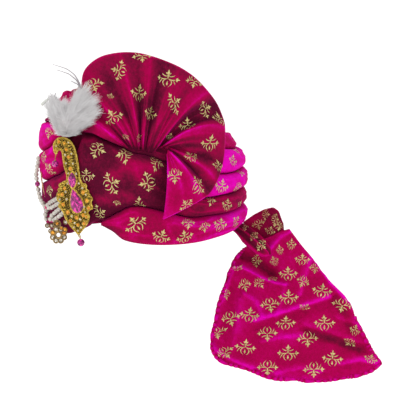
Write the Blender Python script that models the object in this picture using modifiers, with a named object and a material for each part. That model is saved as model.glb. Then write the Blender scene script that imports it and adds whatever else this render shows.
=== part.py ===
"""A tied wedding turban: wound velvet turns, a pleated side fan, a flared tail and a plumed brooch.

+Z is up, -Y is the wearer's front and +X the wearer's left. The origin is the
centre of the head opening.
"""
import math

import bpy
import bmesh
import numpy as np
from mathutils import Vector

# Driving dimensions, in metres.
HEAD_HALF_LENGTH = 0.098
HEAD_HALF_WIDTH = 0.083
HEAD_DEPTH = 0.122
HEAD_STRAIGHT = 0.060
WALL = 0.0374
CROWN_HEIGHT = 0.183
WRAP_THICKNESS = 0.010
SEAM_DEPTH = 0.006
PIECE_GAP = 0.0009
SEAM_GAP = 0.013
COVER_GAP = 0.095
STATION_STEP = 10.0
FAN_THICKNESS = 0.003
FAN_STAND_OFF = 0.0082
TAIL_THICKNESS = 0.0024
PLATE_THICKNESS = 0.0020
STONE_GAP = 0.00035
PEARL_RADIUS = 0.0022
PEARL_PITCH = 0.0043

# The tables below give places as they are seen from the front left, at this azimuth
# and elevation: across from the origin and up from the rim. They are in millimetres of
# a turban with this half width as seen and this crown height, and follow both sizes.
SEEN_AZIMUTH = math.radians(58)
SEEN_ELEVATION = math.radians(5)
DRAWN_HALF_WIDTH = 131.36
DRAWN_CROWN_HEIGHT = 183.0

HALF_LENGTH = HEAD_HALF_LENGTH + WALL
HALF_WIDTH = HEAD_HALF_WIDTH + WALL
SEEN_HALF_WIDTH = math.hypot(HALF_WIDTH * math.cos(SEEN_AZIMUTH),
                             HALF_LENGTH * math.sin(SEEN_AZIMUTH))
# How far out the side of the turban is, where its outline is seen.
SIDE_OUT = ((HALF_WIDTH**2 - HALF_LENGTH**2) * math.sin(SEEN_AZIMUTH)
            * math.cos(SEEN_AZIMUTH) / SEEN_HALF_WIDTH)

# One row for each level of the winding: height at front, left, back and right as a
# part of CROWN_HEIGHT, then the level's size as a part of the widest one.
LEVELS = np.array([
    (0.02, -0.03, 0.07, -0.02, 0.90),
    (0.35, 0.145, 0.20, 0.25, 0.965),
    (0.563, 0.285, 0.32, 0.44, 0.985),
    (0.77, 0.47, 0.455, 0.60, 0.965),
    (0.907, 0.67, 0.59, 0.74, 0.91),
    (1.0, 0.83, 0.69, 0.85, 0.80),
    (0.985, 0.885, 0.79, 0.895, 0.53),
    (0.90, 0.90, 0.90, 0.90, 0.0),
])

# Seams between the turns: degrees round from the wearer's left, then the level.
BAND_BOTTOM = ((-128, 0.0), (-84, 0.0), (-74, 0.10), (-65, 0.28), (-60, 0.39), (-55, 0.45),
               (-50, 0.56), (-43, 0.74), (-38, 0.92), (-35, 1.04), (-30, 1.13), (-24, 1.15),
               (-12, 1.10), (0, 0.98), (15, 1.13), (30, 1.17), (50, 1.28), (90, 1.15),
               (180, 1.0), (232, 1.05))
COIL_5_BOTTOM = ((-55, 0.36), (-48, 0.29), (-40, 0.11), (-30, 0.04), (-20, 0.0), (232, 0.0))
BAND_TOP = ((232, 1.05), (253, 1.09), (269, 1.31), (280, 1.59), (286, 2.04), (292, 2.62),
            (295, 3.15), (303, 3.24), (309, 3.17), (319, 3.13), (325, 3.08), (334, 3.17),
            (348, 3.18))
SEAM_2 = ((-12, 2.05), (10, 2.08), (25, 2.22), (47, 2.30), (90, 2.15), (180, 2.0),
          (245, 2.0), (261, 2.2), (273, 2.52), (282, 2.78), (288, 2.90))
SEAM_3 = ((-12, 3.12), (22, 3.06), (55, 3.16), (90, 3.1), (180, 3.0), (245, 3.05),
          (288, 3.13), (295, 3.15), (303, 3.24), (309, 3.17), (319, 3.13), (325, 3.08),
          (334, 3.17), (348, 3.12))
# How far each turn stands out between its seams, in millimetres, by degrees round.
BULGE_1 = ((-180, 4.0), (-75, 4.0), (-60, 1.0), (5, 1.0), (20, 4.0), (180, 4.0))
BULGE_2 = ((-180, 5.5), (-64, 5.0), (-48, -4.5), (-6, -4.5), (10, 4.0), (180, 5.5))
BULGE_3 = ((-12, -3.0), (6, 3.0), (20, 4.5), (290, 4.5))
BULGE_4 = ((-12, -1.0), (6, 2.0), (20, 2.5), (200, 2.5), (245, 1.2), (290, 2.0))
BULGE_5 = ((-55, 0.5), (-40, 4.0), (0, 5.5), (60, 7.5), (180, 6.0), (232, 5.0))
BULGE_BAND = ((232, 1.0), (265, 1.2), (300, 3.5), (320, 4.0), (335, 2.0), (348, -2.0))

# The fan: one row for each fold or crease, going clockwise. Rim, middle and root in
# millimetres as seen, then how far it stands out at the rim and the middle, and how
# far the root stands off the turns below.
FAN_FOLDS = (
    (-75.0, 131.0, -53.5, 119.7, -20.8, 105.2, 0.0, 0.0, -6.2),
    (-76.9, 151.2, -53.5, 133.6, -17.0, 104.5, 3.0, 6.0, -6.2),
    (-76.2, 165.1, -47.3, 139.9, -13.2, 103.9, 1.0, 0.0, -6.2),
    (-71.2, 189.0, -38.4, 151.2, -10.7, 103.3, 3.0, 6.0, -6.2),
    (-57.3, 214.2, -25.8, 156.2, -8.2, 102.6, 2.0, 5.0, -6.2),
    (-38.4, 224.9, -17.0, 153.7, -5.7, 102.0, 1.0, 0.0, -6.2),
    (-15.8, 228.1, -8.2, 153.7, -3.8, 102.0, 2.0, 5.0, -6.2),
    (0.6, 225.5, -1.9, 153.7, -1.9, 102.0, 2.0, 0.0, -6.2),
    (12.0, 220.5, 5.7, 156.2, 1.3, 101.4, 4.0, 5.0, -6.2),
    (27.1, 216.7, 13.2, 153.7, 4.4, 100.7, 2.0, 0.0, -6.2),
    (47.3, 207.9, 25.8, 151.2, 8.2, 100.1, 4.0, 6.0, -6.2),
    (67.4, 194.0, 41.0, 156.2, 12.0, 99.5, 5.0, 7.0, -6.2),
    (84.4, 175.1, 54.8, 151.2, 15.1, 100.1, 7.0, 8.0, -6.2),
    (96.4, 158.8, 59.9, 146.2, 17.0, 101.4, 1.0, 0.0, -6.2),
    (102.7, 141.1, 64.9, 135.5, 18.9, 102.6, 1.0, 2.0, -6.2),
    (104.6, 132.9, 68.0, 131.0, 20.8, 103.9, 6.0, 8.0, -5.4),
    (105.2, 108.4, 69.3, 114.7, 23.3, 105.2, 6.0, 7.0, -5.4),
    (102.1, 80.0, 76.2, 95.1, 27.1, 106.4, 2.0, 0.0, -3.0),
    (96.4, 59.2, 72.5, 84.4, 30.2, 106.4, 4.0, 4.0, -2.0),
    (88.8, 46.0, 62.4, 80.0, 32.1, 104.5, 2.0, 0.0, 0.0),
    (81.9, 39.7, 57.3, 77.5, 32.1, 102.7, 5.0, 7.0, 1.0),
    (52.9, 25.8, 47.3, 63.0, 31.6, 101.1, 5.0, 7.0, 2.0),
    (25.8, 16.4, 30.2, 56.7, 30.9, 99.5, 4.0, 6.0, 3.0),
)
FAN_COLUMNS = 46
FAN_ROWS = 8

# Edges of the tail's free cloth, as seen, in millimetres: across and up.
SKIRT_TOP = ((127.9, -21.4), (138.0, -13.0), (150.6, -9.8), (166.9, -5.7), (185.8, 2.5))
SKIRT_RIGHT = ((185.8, 2.5), (200.3, -16.4), (215.6, -34.0), (224.5, -49.1), (238.8, -64.3),
               (255.8, -80.6), (265.2, -97.0), (270.3, -113.4), (277.8, -128.5),
               (287.9, -147.4), (300.5, -163.8))
SKIRT_LEFT = ((127.9, -21.4), (114.0, -35.3), (107.7, -50.4), (100.8, -71.8), (93.9, -92.0),
              (91.4, -108.4), (86.3, -129.8), (86.3, -143.6))
SKIRT_BOTTOM = ((86.3, -143.6), (92.6, -156.2), (104.0, -163.8), (122.8, -168.8),
                (139.2, -173.9), (155.6, -180.2), (169.5, -184.6), (189.6, -184.0),
                (209.2, -187.1), (231.2, -186.5), (253.9, -182.1), (272.8, -179.0),
                (287.9, -173.9), (300.5, -163.8))
SKIRT_COLUMNS = 22
SKIRT_ROWS = 14
SKIRT_DEPTH = -2.9

# The ear: a flat loop behind the neck. Lower and upper edges, as seen.
EAR_LOW = ((128.5, 6.5), (140.0, -4.0), (152.0, -14.0), (166.0, -8.5), (178.5, 1.5))
EAR_HIGH = ((129.5, 13.0), (141.0, 21.5), (152.5, 28.0), (165.7, 31.0), (176.0, 13.5))
EAR_DEPTH = -21.9

# The neck: centre across, up and out of the side, then half width and half thickness.
NECK = (
    (117.0, 7.7, -27.8, 6.5, 3.4),
    (129.5, 3.5, -24.9, 7.6, 4.0),
    (136.0, -3.0, -13.9, 9.0, 4.4),
    (141.9, -9.9, -7.9, 10.5, 3.4),
)

# The brooch stands on the front left turn. Its own across and up, in millimetres.
BROOCH_AZIMUTH = math.radians(27)
BROOCH_CENTRE = (-85.0, 53.0)
BROOCH_STAND_OFF = -0.00016
BROOCH_LEAN = math.radians(-3)
PLATE_OUTLINE = (
    (-30.9, 40.3), (-32.4, 50.4), (-29.4, 60.5), (-22.1, 66.2), (-13.2, 66.8), (-4.4, 61.7),
    (0.0, 50.4), (2.9, 37.8), (5.9, 25.2), (8.8, 12.6), (14.7, 7.6), (19.1, 5.0), (18.6, 0.0),
    (24.3, -5.0), (22.9, -11.3), (27.2, -17.6), (25.0, -25.2), (20.6, -34.0), (17.6, -40.3),
    (13.2, -46.6), (7.3, -54.2), (4.0, -58.0), (0.0, -51.7), (-7.4, -45.4), (-13.2, -37.8),
    (-17.6, -29.0), (-22.1, -22.7), (-26.5, -16.4), (-24.3, -10.0), (-28.0, -6.3),
    (-25.7, 0.0), (-20.6, 2.5), (-22.8, 7.6), (-17.6, 8.8), (-13.2, 12.6), (-14.7, 22.7),
    (-16.2, 31.5), (-16.2, 40.3), (-16.9, 47.9), (-20.6, 52.9), (-25.0, 50.4),
    (-26.0, 45.4), (-28.0, 39.1),
)
MARQUISE = (-3.5, 12.0, 6.3, 9.6)
TEARDROP = (1.5, -13.8, 10.8, 15.4)
TEARDROP_TILT = math.radians(16)
# Small round stones: across, up and radius.
SMALL_STONES = (
    (-9.5, 51.0, 2.2), (-6.5, 41.5, 2.2), (-4.2, 27.0, 2.4), (-13.6, 1.6, 2.3),
    (-17.3, -6.2, 2.6), (-24.0, -6.4, 2.0), (-16.4, -18.8, 2.6), (-9.8, -28.4, 2.7),
    (-6.0, -39.0, 2.3), (3.0, -34.4, 2.5), (12.8, -31.0, 2.4), (13.6, -41.5, 2.5),
    (4.6, -43.6, 2.1), (13.4, -2.2, 2.6), (18.6, -12.4, 2.7), (20.8, -21.8, 2.5),
    (17.2, -33.0, 1.9), (-12.0, 58.6, 2.1), (-20.0, 60.2, 2.1),
)
HOOK_BEAD = (-28.2, 34.6, 4.3)
DROP_BEAD = (9.6, -70.4, 5.0)

# Strings of pearls: places as seen, across and up.
STRINGS = {
    "pearl_string_outer": ((-131.6, 94.0), (-132.6, 84.0), (-134.8, 77.0), (-136.0, 70.0),
                           (-133.4, 64.0)),
    "pearl_string_lower": ((-132.6, 57.2), (-131.0, 46.0), (-127.6, 38.5), (-122.6, 32.5),
                           (-120.0, 27.5), (-122.0, 21.5), (-121.0, 14.0)),
    "pearl_row_upper": ((-103.0, 42.5), (-109.0, 38.0), (-116.5, 35.0), (-118.0, 31.0),
                        (-110.5, 31.5), (-103.0, 36.5)),
    "pearl_row_lower": ((-99.0, 33.0), (-105.0, 27.0), (-112.0, 20.5), (-113.0, 15.5),
                        (-106.0, 18.0), (-99.5, 24.5)),
}
STRING_LIFT = {"pearl_string_outer": 3.9, "pearl_string_lower": 3.7,
               "pearl_row_upper": 4.5, "pearl_row_lower": 4.5}
SPACER = (-132.6, 60.6, 3.2)
STONE_RING = (-105.0, -3.5, 7.6, 2.9)
# The disc hangs the ring: its place from the ring's middle, and its radius.
STONE_DISC = (-1.5, 14.0, 4.6)

# The plume: centre and half sizes, and one lock for each row: azimuth and height
# angle in degrees, its reach as a part of the body, and its half spread in degrees.
PLUME_ROOT = (-89.0, 117.0)
PLUME_HALF = (26.0, 30.0, 10.0)
PLUME_LOCKS = (
    (0, 88, 0.10, 26), (-55, 62, 0.28, 20), (50, 55, 0.30, 20), (180, 60, 0.15, 24),
    (88, 22, 0.34, 22), (-90, 26, 0.30, 22), (70, -12, 0.24, 20), (-75, -14, 0.16, 20),
    (10, 20, 0.18, 26), (-20, -30, 0.14, 24), (165, 10, 0.12, 30),
)
PLUME_ROOT_BACK = 26.0
PLUME_ROOT_ASIDE = 6.0
# The quill: where it leaves the plume, as parts of its half sizes, then its length
# across and up in millimetres, and its radius.
QUILL_START = (-1.185, 0.72)
QUILL_LENGTH = (-8.6, -8.4)
QUILL_RADIUS = 0.0018

MATERIALS = {
    "velvet_magenta": ((0.34, 0.003, 0.075, 1), 0.75, 0.0),
    "gilt_metal": ((0.62, 0.45, 0.12, 1), 0.32, 1.0),
    "pink_glass": ((0.65, 0.02, 0.30, 1), 0.08, 0.0),
    "amber_glass": ((0.80, 0.30, 0.01, 1), 0.08, 0.0),
    "pearl": ((0.78, 0.74, 0.70, 1), 0.25, 0.0),
    "white_marabou": ((0.70, 0.70, 0.69, 1), 0.9, 0.0),
    "quill_horn": ((0.66, 0.66, 0.62, 1), 0.5, 0.0),
}


def clear_scene():
    for thing in list(bpy.data.objects):
        bpy.data.objects.remove(thing)


def material(name):
    made = bpy.data.materials.get(name)
    if made is None:
        made = bpy.data.materials.new(name)
        made.use_nodes = True
        shader = made.node_tree.nodes["Principled BSDF"]
        colour, roughness, metallic = MATERIALS[name]
        shader.inputs["Base Color"].default_value = colour
        shader.inputs["Roughness"].default_value = roughness
        shader.inputs["Metallic"].default_value = metallic
    return made


def add_mesh(name, points, faces, look):
    mesh = bpy.data.meshes.new(name)
    mesh.from_pydata([tuple(p) for p in points], [], [tuple(f) for f in faces])
    mesh.update()
    made = bpy.data.objects.new(name, mesh)
    TURBAN.objects.link(made)
    tidy = bmesh.new()
    tidy.from_mesh(mesh)
    bmesh.ops.remove_doubles(tidy, verts=tidy.verts, dist=1e-6)
    bmesh.ops.recalc_face_normals(tidy, faces=tidy.faces)
    tidy.to_mesh(mesh)
    tidy.free()
    mesh.materials.append(material(look))
    return made


def along(table, at):
    """The table's value at each place, eased through its rows by cubic pieces."""
    rows = np.asarray(table, float)
    x, y = rows[:, 0], rows[:, 1:]
    slope = np.gradient(y, x, axis=0) if len(x) > 2 else np.repeat(
        (y[1:] - y[:1]) / (x[1] - x[0]), 2, axis=0)
    at = np.clip(np.asarray(at, float), x[0], x[-1])
    k = np.clip(np.searchsorted(x, at, side="right") - 1, 0, len(x) - 2)
    step = (x[k + 1] - x[k])[..., None]
    t = ((at - x[k])[..., None]) / step
    ease = t * t * (3 - 2 * t)
    value = (y[k] * (1 - ease) + y[k + 1] * ease
             + 0.7 * step * (slope[k] * t * (1 - t) ** 2 - slope[k + 1] * t * t * (1 - t)))
    return value[..., 0] if y.shape[1] == 1 else value


def around(heights, turn):
    """A level's height at this turn, from its front, left, back and right heights."""
    front, left, back, right = (heights[..., i] for i in range(4))
    return ((front + left + back + right) / 4 + (left - right) / 2 * np.cos(turn)
            + (back - front) / 2 * np.sin(turn)
            + (left + right - back - front) / 4 * np.cos(2 * turn))


LEVEL_TABLE = np.column_stack([np.arange(len(LEVELS)), LEVELS])


def bare_skin(turn, level):
    row = along(LEVEL_TABLE, level)
    size = row[..., 4]
    return np.stack([size * HALF_WIDTH * np.cos(turn), size * HALF_LENGTH * np.sin(turn),
                     CROWN_HEIGHT * around(row[..., :4], turn)], axis=-1)


def skin(degrees, level, lift):
    """The wound body's surface at this turn and level, moved out along its normal."""
    turn = np.radians(np.asarray(degrees, float))
    turn, level, lift = np.broadcast_arrays(turn, level, lift)
    step = 1e-3
    # Neither end of the levels has a slope of its own, so it is taken just beside it.
    near = np.clip(level, 2 * step, len(LEVELS) - 1 - 0.02)
    round_it = bare_skin(turn + step, near) - bare_skin(turn - step, near)
    up_it = bare_skin(turn, near + step) - bare_skin(turn, near - step)
    normal = np.cross(round_it, up_it)
    normal /= np.linalg.norm(normal, axis=-1, keepdims=True)
    centre = (level > len(LEVELS) - 1 - 1e-6)[..., None]
    normal = np.where(centre, np.array([0.0, 0.0, 1.0]), normal)
    return bare_skin(turn, level) + lift[..., None] * normal


ACROSS = np.array([math.cos(SEEN_AZIMUTH), math.sin(SEEN_AZIMUTH), 0.0])
LEVEL_OUT = np.array([math.sin(SEEN_AZIMUTH), -math.cos(SEEN_AZIMUTH), 0.0])
OUT = LEVEL_OUT * math.cos(SEEN_ELEVATION) + np.array([0, 0, math.sin(SEEN_ELEVATION)])
UP = np.cross(OUT, ACROSS)


def seen(across, up, out):
    """The point at these places across, up and out of the direction it is seen from."""
    across, up, out = np.broadcast_arrays(across, up, out)
    return (across[..., None] * ACROSS + up[..., None] * UP + out[..., None] * OUT)


def placed(across, up):
    """Places in a table of what is seen, in metres at this turban's size."""
    return (np.asarray(across) * SEEN_HALF_WIDTH / DRAWN_HALF_WIDTH,
            np.asarray(up) * CROWN_HEIGHT / DRAWN_CROWN_HEIGHT)


def seated(across, up, lift):
    """How far out the wound body is at these places as seen, with this much lift.

    Each level is an ellipse, so the distance out is the larger root of a quadratic;
    the level and the ellipse's size come from the last guess, a few times over.
    """
    across, up, lift = np.broadcast_arrays(across, up, lift)
    c, s = math.cos(SEEN_AZIMUTH), math.sin(SEEN_AZIMUTH)
    out = np.full(across.shape, 0.10)
    for _ in range(12):
        at = seen(across, up, out)
        turn = np.arctan2(at[..., 1] / HALF_LENGTH, at[..., 0] / HALF_WIDTH)
        heights = [CROWN_HEIGHT * around(row[:4], turn) for row in LEVELS[:5]]
        level = sum(np.clip((at[..., 2] - low) / (high - low), 0, 1)
                    for low, high in zip(heights, heights[1:]))
        size = np.interp(level, range(5), LEVELS[:5, 4])
        size -= 0.40 * np.clip(at[..., 2] - heights[4], 0, 1)
        a, b = size * HALF_WIDTH + lift, size * HALF_LENGTH + lift
        square = s * s / a**2 + c * c / b**2
        half = across * s * c * (1 / a**2 - 1 / b**2)
        rest = across**2 * (c * c / a**2 + s * s / b**2) - 1
        flat = (-half + np.sqrt(np.maximum(half**2 - square * rest, 0))) / square
        out = 0.5 * out + 0.5 * (flat + up * math.sin(SEEN_ELEVATION)) / math.cos(SEEN_ELEVATION)
    return out


def loft(name, rings, look, closed=False):
    """A solid from rings of as many points each, capped at the ends unless closed."""
    rings = np.asarray(rings)
    count, size = rings.shape[:2]
    index = np.arange(count * size).reshape(count, size)
    faces = []
    for i in range(count if closed else count - 1):
        here, there = index[i], index[(i + 1) % count]
        for j in range(size):
            k = (j + 1) % size
            faces.append((here[j], here[k], there[k], there[j]))
    if not closed:
        faces.append(tuple(index[0]))
        faces.append(tuple(index[-1][::-1]))
    return add_mesh(name, rings.reshape(-1, 3), faces, look)


def stations(start, end):
    """Common turns for all pieces, so that neighbours' facets match, and the two ends."""
    first = math.floor(start / STATION_STEP) + 1
    last = math.ceil(end / STATION_STEP)
    inner = [k * STATION_STEP for k in range(first, last)
             if min(k * STATION_STEP - start, end - k * STATION_STEP) > 1.5]
    return np.array([start, *inner, end], float)


SECTION = np.array([0.0, 0.09, 0.28, 0.5, 0.72, 0.91, 1.0])


def turn_of_cloth(name, degrees, low, high, bulge, closed=False, backs=3):
    """A wound turn between two seams: flat inside, rounded outside, its edges set in."""
    low, high = low + SEAM_GAP, high - SEAM_GAP
    width = (high - low)[:, None]
    level = low[:, None] + width * SECTION
    bulge = 0.001 * bulge * np.clip(width[:, 0] / 0.6, 0.2, 1)
    shape = np.sqrt(1 - np.abs(2 * SECTION - 1) ** 4)
    lift = -SEAM_DEPTH + (bulge + SEAM_DEPTH)[:, None] * shape
    outer = skin(degrees[:, None], level, lift)
    back = low[:, None] + width * np.linspace(1.0, 0.0, backs)
    inner = skin(degrees[:, None], back, np.full(back.shape, -WRAP_THICKNESS))
    return loft(name, np.concatenate([outer, inner], axis=1), "velvet_magenta", closed)


def wound_turns():
    whole = np.arange(-180, 180, STATION_STEP)
    seam_3 = along(SEAM_3, np.where(whole < -12, whole + 360, whole))
    four = np.full(whole.shape, 4.0)
    turn_of_cloth("coil_1", whole, four, four + 1, along(BULGE_1, whole), closed=True)
    turn_of_cloth("coil_2", whole, seam_3, four, along(BULGE_2, whole), closed=True)
    at = stations(-11.4, 288)
    turn_of_cloth("coil_3", at, along(SEAM_2, at), along(SEAM_3, at), along(BULGE_3, at))
    at = stations(-11.4, 283)
    low = np.where(at > 232, along(BAND_TOP, at), along(BAND_BOTTOM, at))
    turn_of_cloth("coil_4", at, low, along(SEAM_2, at), along(BULGE_4, at))
    at = stations(-54, 231.8)
    turn_of_cloth("coil_5", at, along(COIL_5_BOTTOM, at), along(BAND_BOTTOM, at),
                  along(BULGE_5, at))
    at = stations(232.2, 348)
    high = np.minimum(along(BAND_TOP, at), along(SEAM_3, at))
    turn_of_cloth("side_band", at, along(BAND_BOTTOM, at - 360), high,
                  along(BULGE_BAND, at), backs=7)


def lowest_edge(degrees):
    """The level of the lowest cloth edge at this turn, where the base stops above it."""
    front = along(BAND_BOTTOM, np.minimum(degrees, -55))
    side = along(COIL_5_BOTTOM, np.maximum(degrees, -55))
    return np.where(degrees < -55, front, side)


def crown_base():
    """The hollow shell: its outside runs under the turns and its inside holds the head."""
    at = np.arange(-180, 180, STATION_STEP)
    low = lowest_edge(at) + 0.10
    outside = [skin(at, np.where(np.full(at.shape, k) < low, low, k),
                    np.full(at.shape, -WRAP_THICKNESS - PIECE_GAP)) for k in range(1, 7)]
    outside.insert(0, skin(at, low, np.full(at.shape, -WRAP_THICKNESS - PIECE_GAP)))
    rim_height = outside[0][:, 2]
    turn = np.radians(at)
    inside = []
    for height in (None, 0.03, HEAD_STRAIGHT, 0.085, 0.105, 0.117):
        z = rim_height if height is None else np.full(at.shape, height)
        rise = np.clip((z - HEAD_STRAIGHT) / (HEAD_DEPTH - HEAD_STRAIGHT), 0, 1)
        size = np.sqrt(1 - rise**2)
        inside.append(np.stack([size * HEAD_HALF_WIDTH * np.cos(turn),
                                size * HEAD_HALF_LENGTH * np.sin(turn), z], axis=-1))
    rings = outside[::-1] + inside
    count = len(at)
    points = np.concatenate(rings)
    faces = []
    for i in range(len(rings) - 1):
        for j in range(count):
            k = (j + 1) % count
            faces.append((i * count + j, i * count + k, (i + 1) * count + k,
                          (i + 1) * count + j))
    crown = skin(0.0, 7.0, -WRAP_THICKNESS - PIECE_GAP)
    points = np.vstack([points, crown, (0, 0, HEAD_DEPTH)])
    last = (len(rings) - 1) * count
    for j in range(count):
        k = (j + 1) % count
        faces.append((len(points) - 2, k, j))
        faces.append((len(points) - 1, last + j, last + k))
    add_mesh("crown_base", points, faces, "velvet_magenta")


def crown_cover():
    """Gathered cloth over the crown: radial pleats that fade out to its middle."""
    at = np.arange(-180, 180, STATION_STEP)
    rings = []
    for level, lift, pleat in ((6.5, 3.0, 0.6), (6.0, 3.5, 1.0), (5.5, 3.0, 1.6),
                               (5.2, -0.5, 1.0), (5.0, -6.0, 0.0)):
        edge = level + (COVER_GAP if level == 5.0 else 0)
        wave = pleat * np.cos(np.arange(len(at)) * math.pi)
        rings.append(skin(at, np.full(at.shape, edge), 0.001 * (lift + wave)))
    for level in (5.0 + COVER_GAP, 5.5, 6.0, 6.5):
        rings.append(skin(at, np.full(at.shape, level), np.full(at.shape, -WRAP_THICKNESS)))
    count = len(at)
    points = np.vstack([np.concatenate(rings), skin(0.0, 7.0, 0.0025),
                        skin(0.0, 7.0, -WRAP_THICKNESS)])
    faces = []
    for i in range(len(rings) - 1):
        for j in range(count):
            k = (j + 1) % count
            faces.append((i * count + j, i * count + k, (i + 1) * count + k,
                          (i + 1) * count + j))
    last = (len(rings) - 1) * count
    for j in range(count):
        k = (j + 1) % count
        faces.append((len(points) - 2, k, j))
        faces.append((len(points) - 1, last + j, last + k))
    add_mesh("crown_cover", points, faces, "velvet_magenta")


def side_fan():
    """The pleated fan: its folds fan out of the knot, rim and root between them eased."""
    folds = np.asarray(FAN_FOLDS, float)
    knots = np.arange(len(folds))
    at = np.linspace(0, len(folds) - 1, FAN_COLUMNS)
    columns = np.stack([np.interp(at, knots, folds[:, i]) for i in range(9)])
    reach = np.linspace(0, 1, FAN_ROWS)[:, None]
    rim, middle, root = columns[0:2], columns[2:4], columns[4:6]
    place = (root[:, None] * (1 - reach) * (1 - 2 * reach) + 4 * middle[:, None] * reach
             * (1 - reach) + rim[:, None] * reach * (2 * reach - 1))
    place = placed(place[0], place[1])
    stand = 0.001 * (columns[7] * np.sin(np.pi * np.clip(reach, 0, 1) ** 0.8) ** 0.8
                     + columns[6] * reach**3)
    ease = np.clip(reach / 0.32, 0, 1)
    ease = ease * ease * (3 - 2 * ease)
    lift = 0.001 * columns[8] * (1 - ease) + FAN_STAND_OFF * ease
    base = seated(place[0], place[1], lift)
    back = seen(place[0], place[1], base + 0.8 * stand)
    front = seen(place[0], place[1], base + stand + FAN_THICKNESS)
    rings = np.concatenate([front, back[::-1]], axis=0)
    loft("side_fan", rings.transpose(1, 0, 2), "velvet_magenta")


def edge_points(table, count):
    """As many points along this polyline, evenly by length."""
    table = np.asarray(table, float)
    length = np.concatenate([[0], np.cumsum(np.hypot(*np.diff(table, axis=0).T))])
    at = np.linspace(0, length[-1], count)
    return np.stack([np.interp(at, length, table[:, i]) for i in range(2)], axis=-1)


def sheet(name, points, thickness, look):
    """A closed sheet from a grid of points, thickened to both sides."""
    rows, columns = points.shape[:2]
    index = np.arange(rows * columns).reshape(rows, columns)
    faces = np.stack([index[:-1, :-1], index[:-1, 1:], index[1:, 1:], index[1:, :-1]],
                     axis=-1).reshape(-1, 4)
    made = add_mesh(name, points.reshape(-1, 3), faces, look)
    thick = made.modifiers.new("thickness", "SOLIDIFY")
    thick.thickness = thickness
    thick.offset = 0.0
    return made


def tail():
    """The flared free end: the skirt between its four edges, the ear and the neck."""
    across, down = np.linspace(0, 1, SKIRT_COLUMNS), np.linspace(0, 1, SKIRT_ROWS)
    top, bottom = edge_points(SKIRT_TOP, SKIRT_COLUMNS), edge_points(SKIRT_BOTTOM, SKIRT_COLUMNS)
    left, right = edge_points(SKIRT_LEFT, SKIRT_ROWS), edge_points(SKIRT_RIGHT, SKIRT_ROWS)
    u, v = across[None, :, None], down[:, None, None]
    corners = (top[0] * (1 - u) * (1 - v) + top[-1] * u * (1 - v)
               + bottom[0] * (1 - u) * v + bottom[-1] * u * v)
    place = (top[None] * (1 - v) + bottom[None] * v + left[:, None] * (1 - u)
             + right[:, None] * u - corners)
    u, v = u[..., 0], v[..., 0]
    flute = (6.5 * np.sin(2 * np.pi * (2.6 * u + 0.15)) + 3.0 * np.sin(2 * np.pi * (4.3 * u + 0.4)))
    out = SKIRT_DEPTH + flute * (0.35 + 0.65 * v) + 9.0 * v * (1 - v) - 6.0 * u
    grid = seen(*placed(place[..., 0], place[..., 1]), SIDE_OUT + 0.001 * out)
    sheet("tail_skirt", grid, TAIL_THICKNESS, "velvet_magenta")
    low, high = edge_points(EAR_LOW, 10), edge_points(EAR_HIGH, 10)
    rise = np.linspace(0, 1, 6)[:, None, None]
    place = low[None] * (1 - rise) + high[None] * rise
    back = 12.0 * np.clip((place[..., 0] - 129) / 16, 0, 1) - 12.0
    out = EAR_DEPTH + back + 3.0 * np.sin(np.pi * np.linspace(0, 2, 10))[None] * rise[..., 0]
    grid = seen(*placed(place[..., 0], place[..., 1]), SIDE_OUT + 0.001 * out)
    sheet("tail_ear", grid, TAIL_THICKNESS, "velvet_magenta")
    rows = np.asarray(NECK)
    centre = seen(*placed(rows[:, 0], rows[:, 1]), SIDE_OUT + 0.001 * rows[:, 2])
    rows = rows * 0.001
    path = np.gradient(centre, axis=0)
    path /= np.linalg.norm(path, axis=1, keepdims=True)
    wide = np.cross(OUT, path)
    wide /= np.linalg.norm(wide, axis=1, keepdims=True)
    thick = np.cross(path, wide)
    turn = np.linspace(0, 2 * np.pi, 12, endpoint=False)
    rings = (centre[:, None] + rows[:, 3, None, None] * np.cos(turn)[:, None] * wide[:, None]
             + rows[:, 4, None, None] * np.sin(turn)[:, None] * thick[:, None])
    loft("tail_neck", rings, "velvet_magenta")


def brooch_frame():
    """The brooch's origin and its directions across, up and out."""
    across = np.array([math.cos(BROOCH_AZIMUTH), math.sin(BROOCH_AZIMUTH), 0.0])
    flat = np.array([math.sin(BROOCH_AZIMUTH), -math.cos(BROOCH_AZIMUTH), 0.0])
    out = flat * math.cos(BROOCH_LEAN) + np.array([0, 0, math.sin(BROOCH_LEAN)])
    up = np.cross(across, -out)
    centre = seen(*placed(*BROOCH_CENTRE), 0.0)
    # Slides along the line of sight to the plane that touches the turban's widest level.
    touching = math.hypot(HALF_WIDTH * flat[0], HALF_LENGTH * flat[1])
    distance = (touching + BROOCH_STAND_OFF - centre @ flat) / (OUT @ flat)
    return centre + distance * OUT, across, up, out


def on_brooch(places, out):
    origin, across, up, outward = brooch_frame()
    places = 0.001 * np.asarray(places, float)
    return (origin + places[..., 0, None] * across + places[..., 1, None] * up
            + np.asarray(out)[..., None] * outward)


def cut_stone(name, outline, height, look):
    """A stone set on the plate: its outline, a girdle and a flat table."""
    outline = np.asarray(outline, float)
    middle = outline.mean(axis=0)
    base = PLATE_THICKNESS + STONE_GAP
    rings = [on_brooch(middle + (outline - middle) * scale, np.full(len(outline), base + rise))
             for scale, rise in ((0.97, 0.0), (1.0, 0.3 * height), (0.60, height))]
    loft(name, rings, look)


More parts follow.
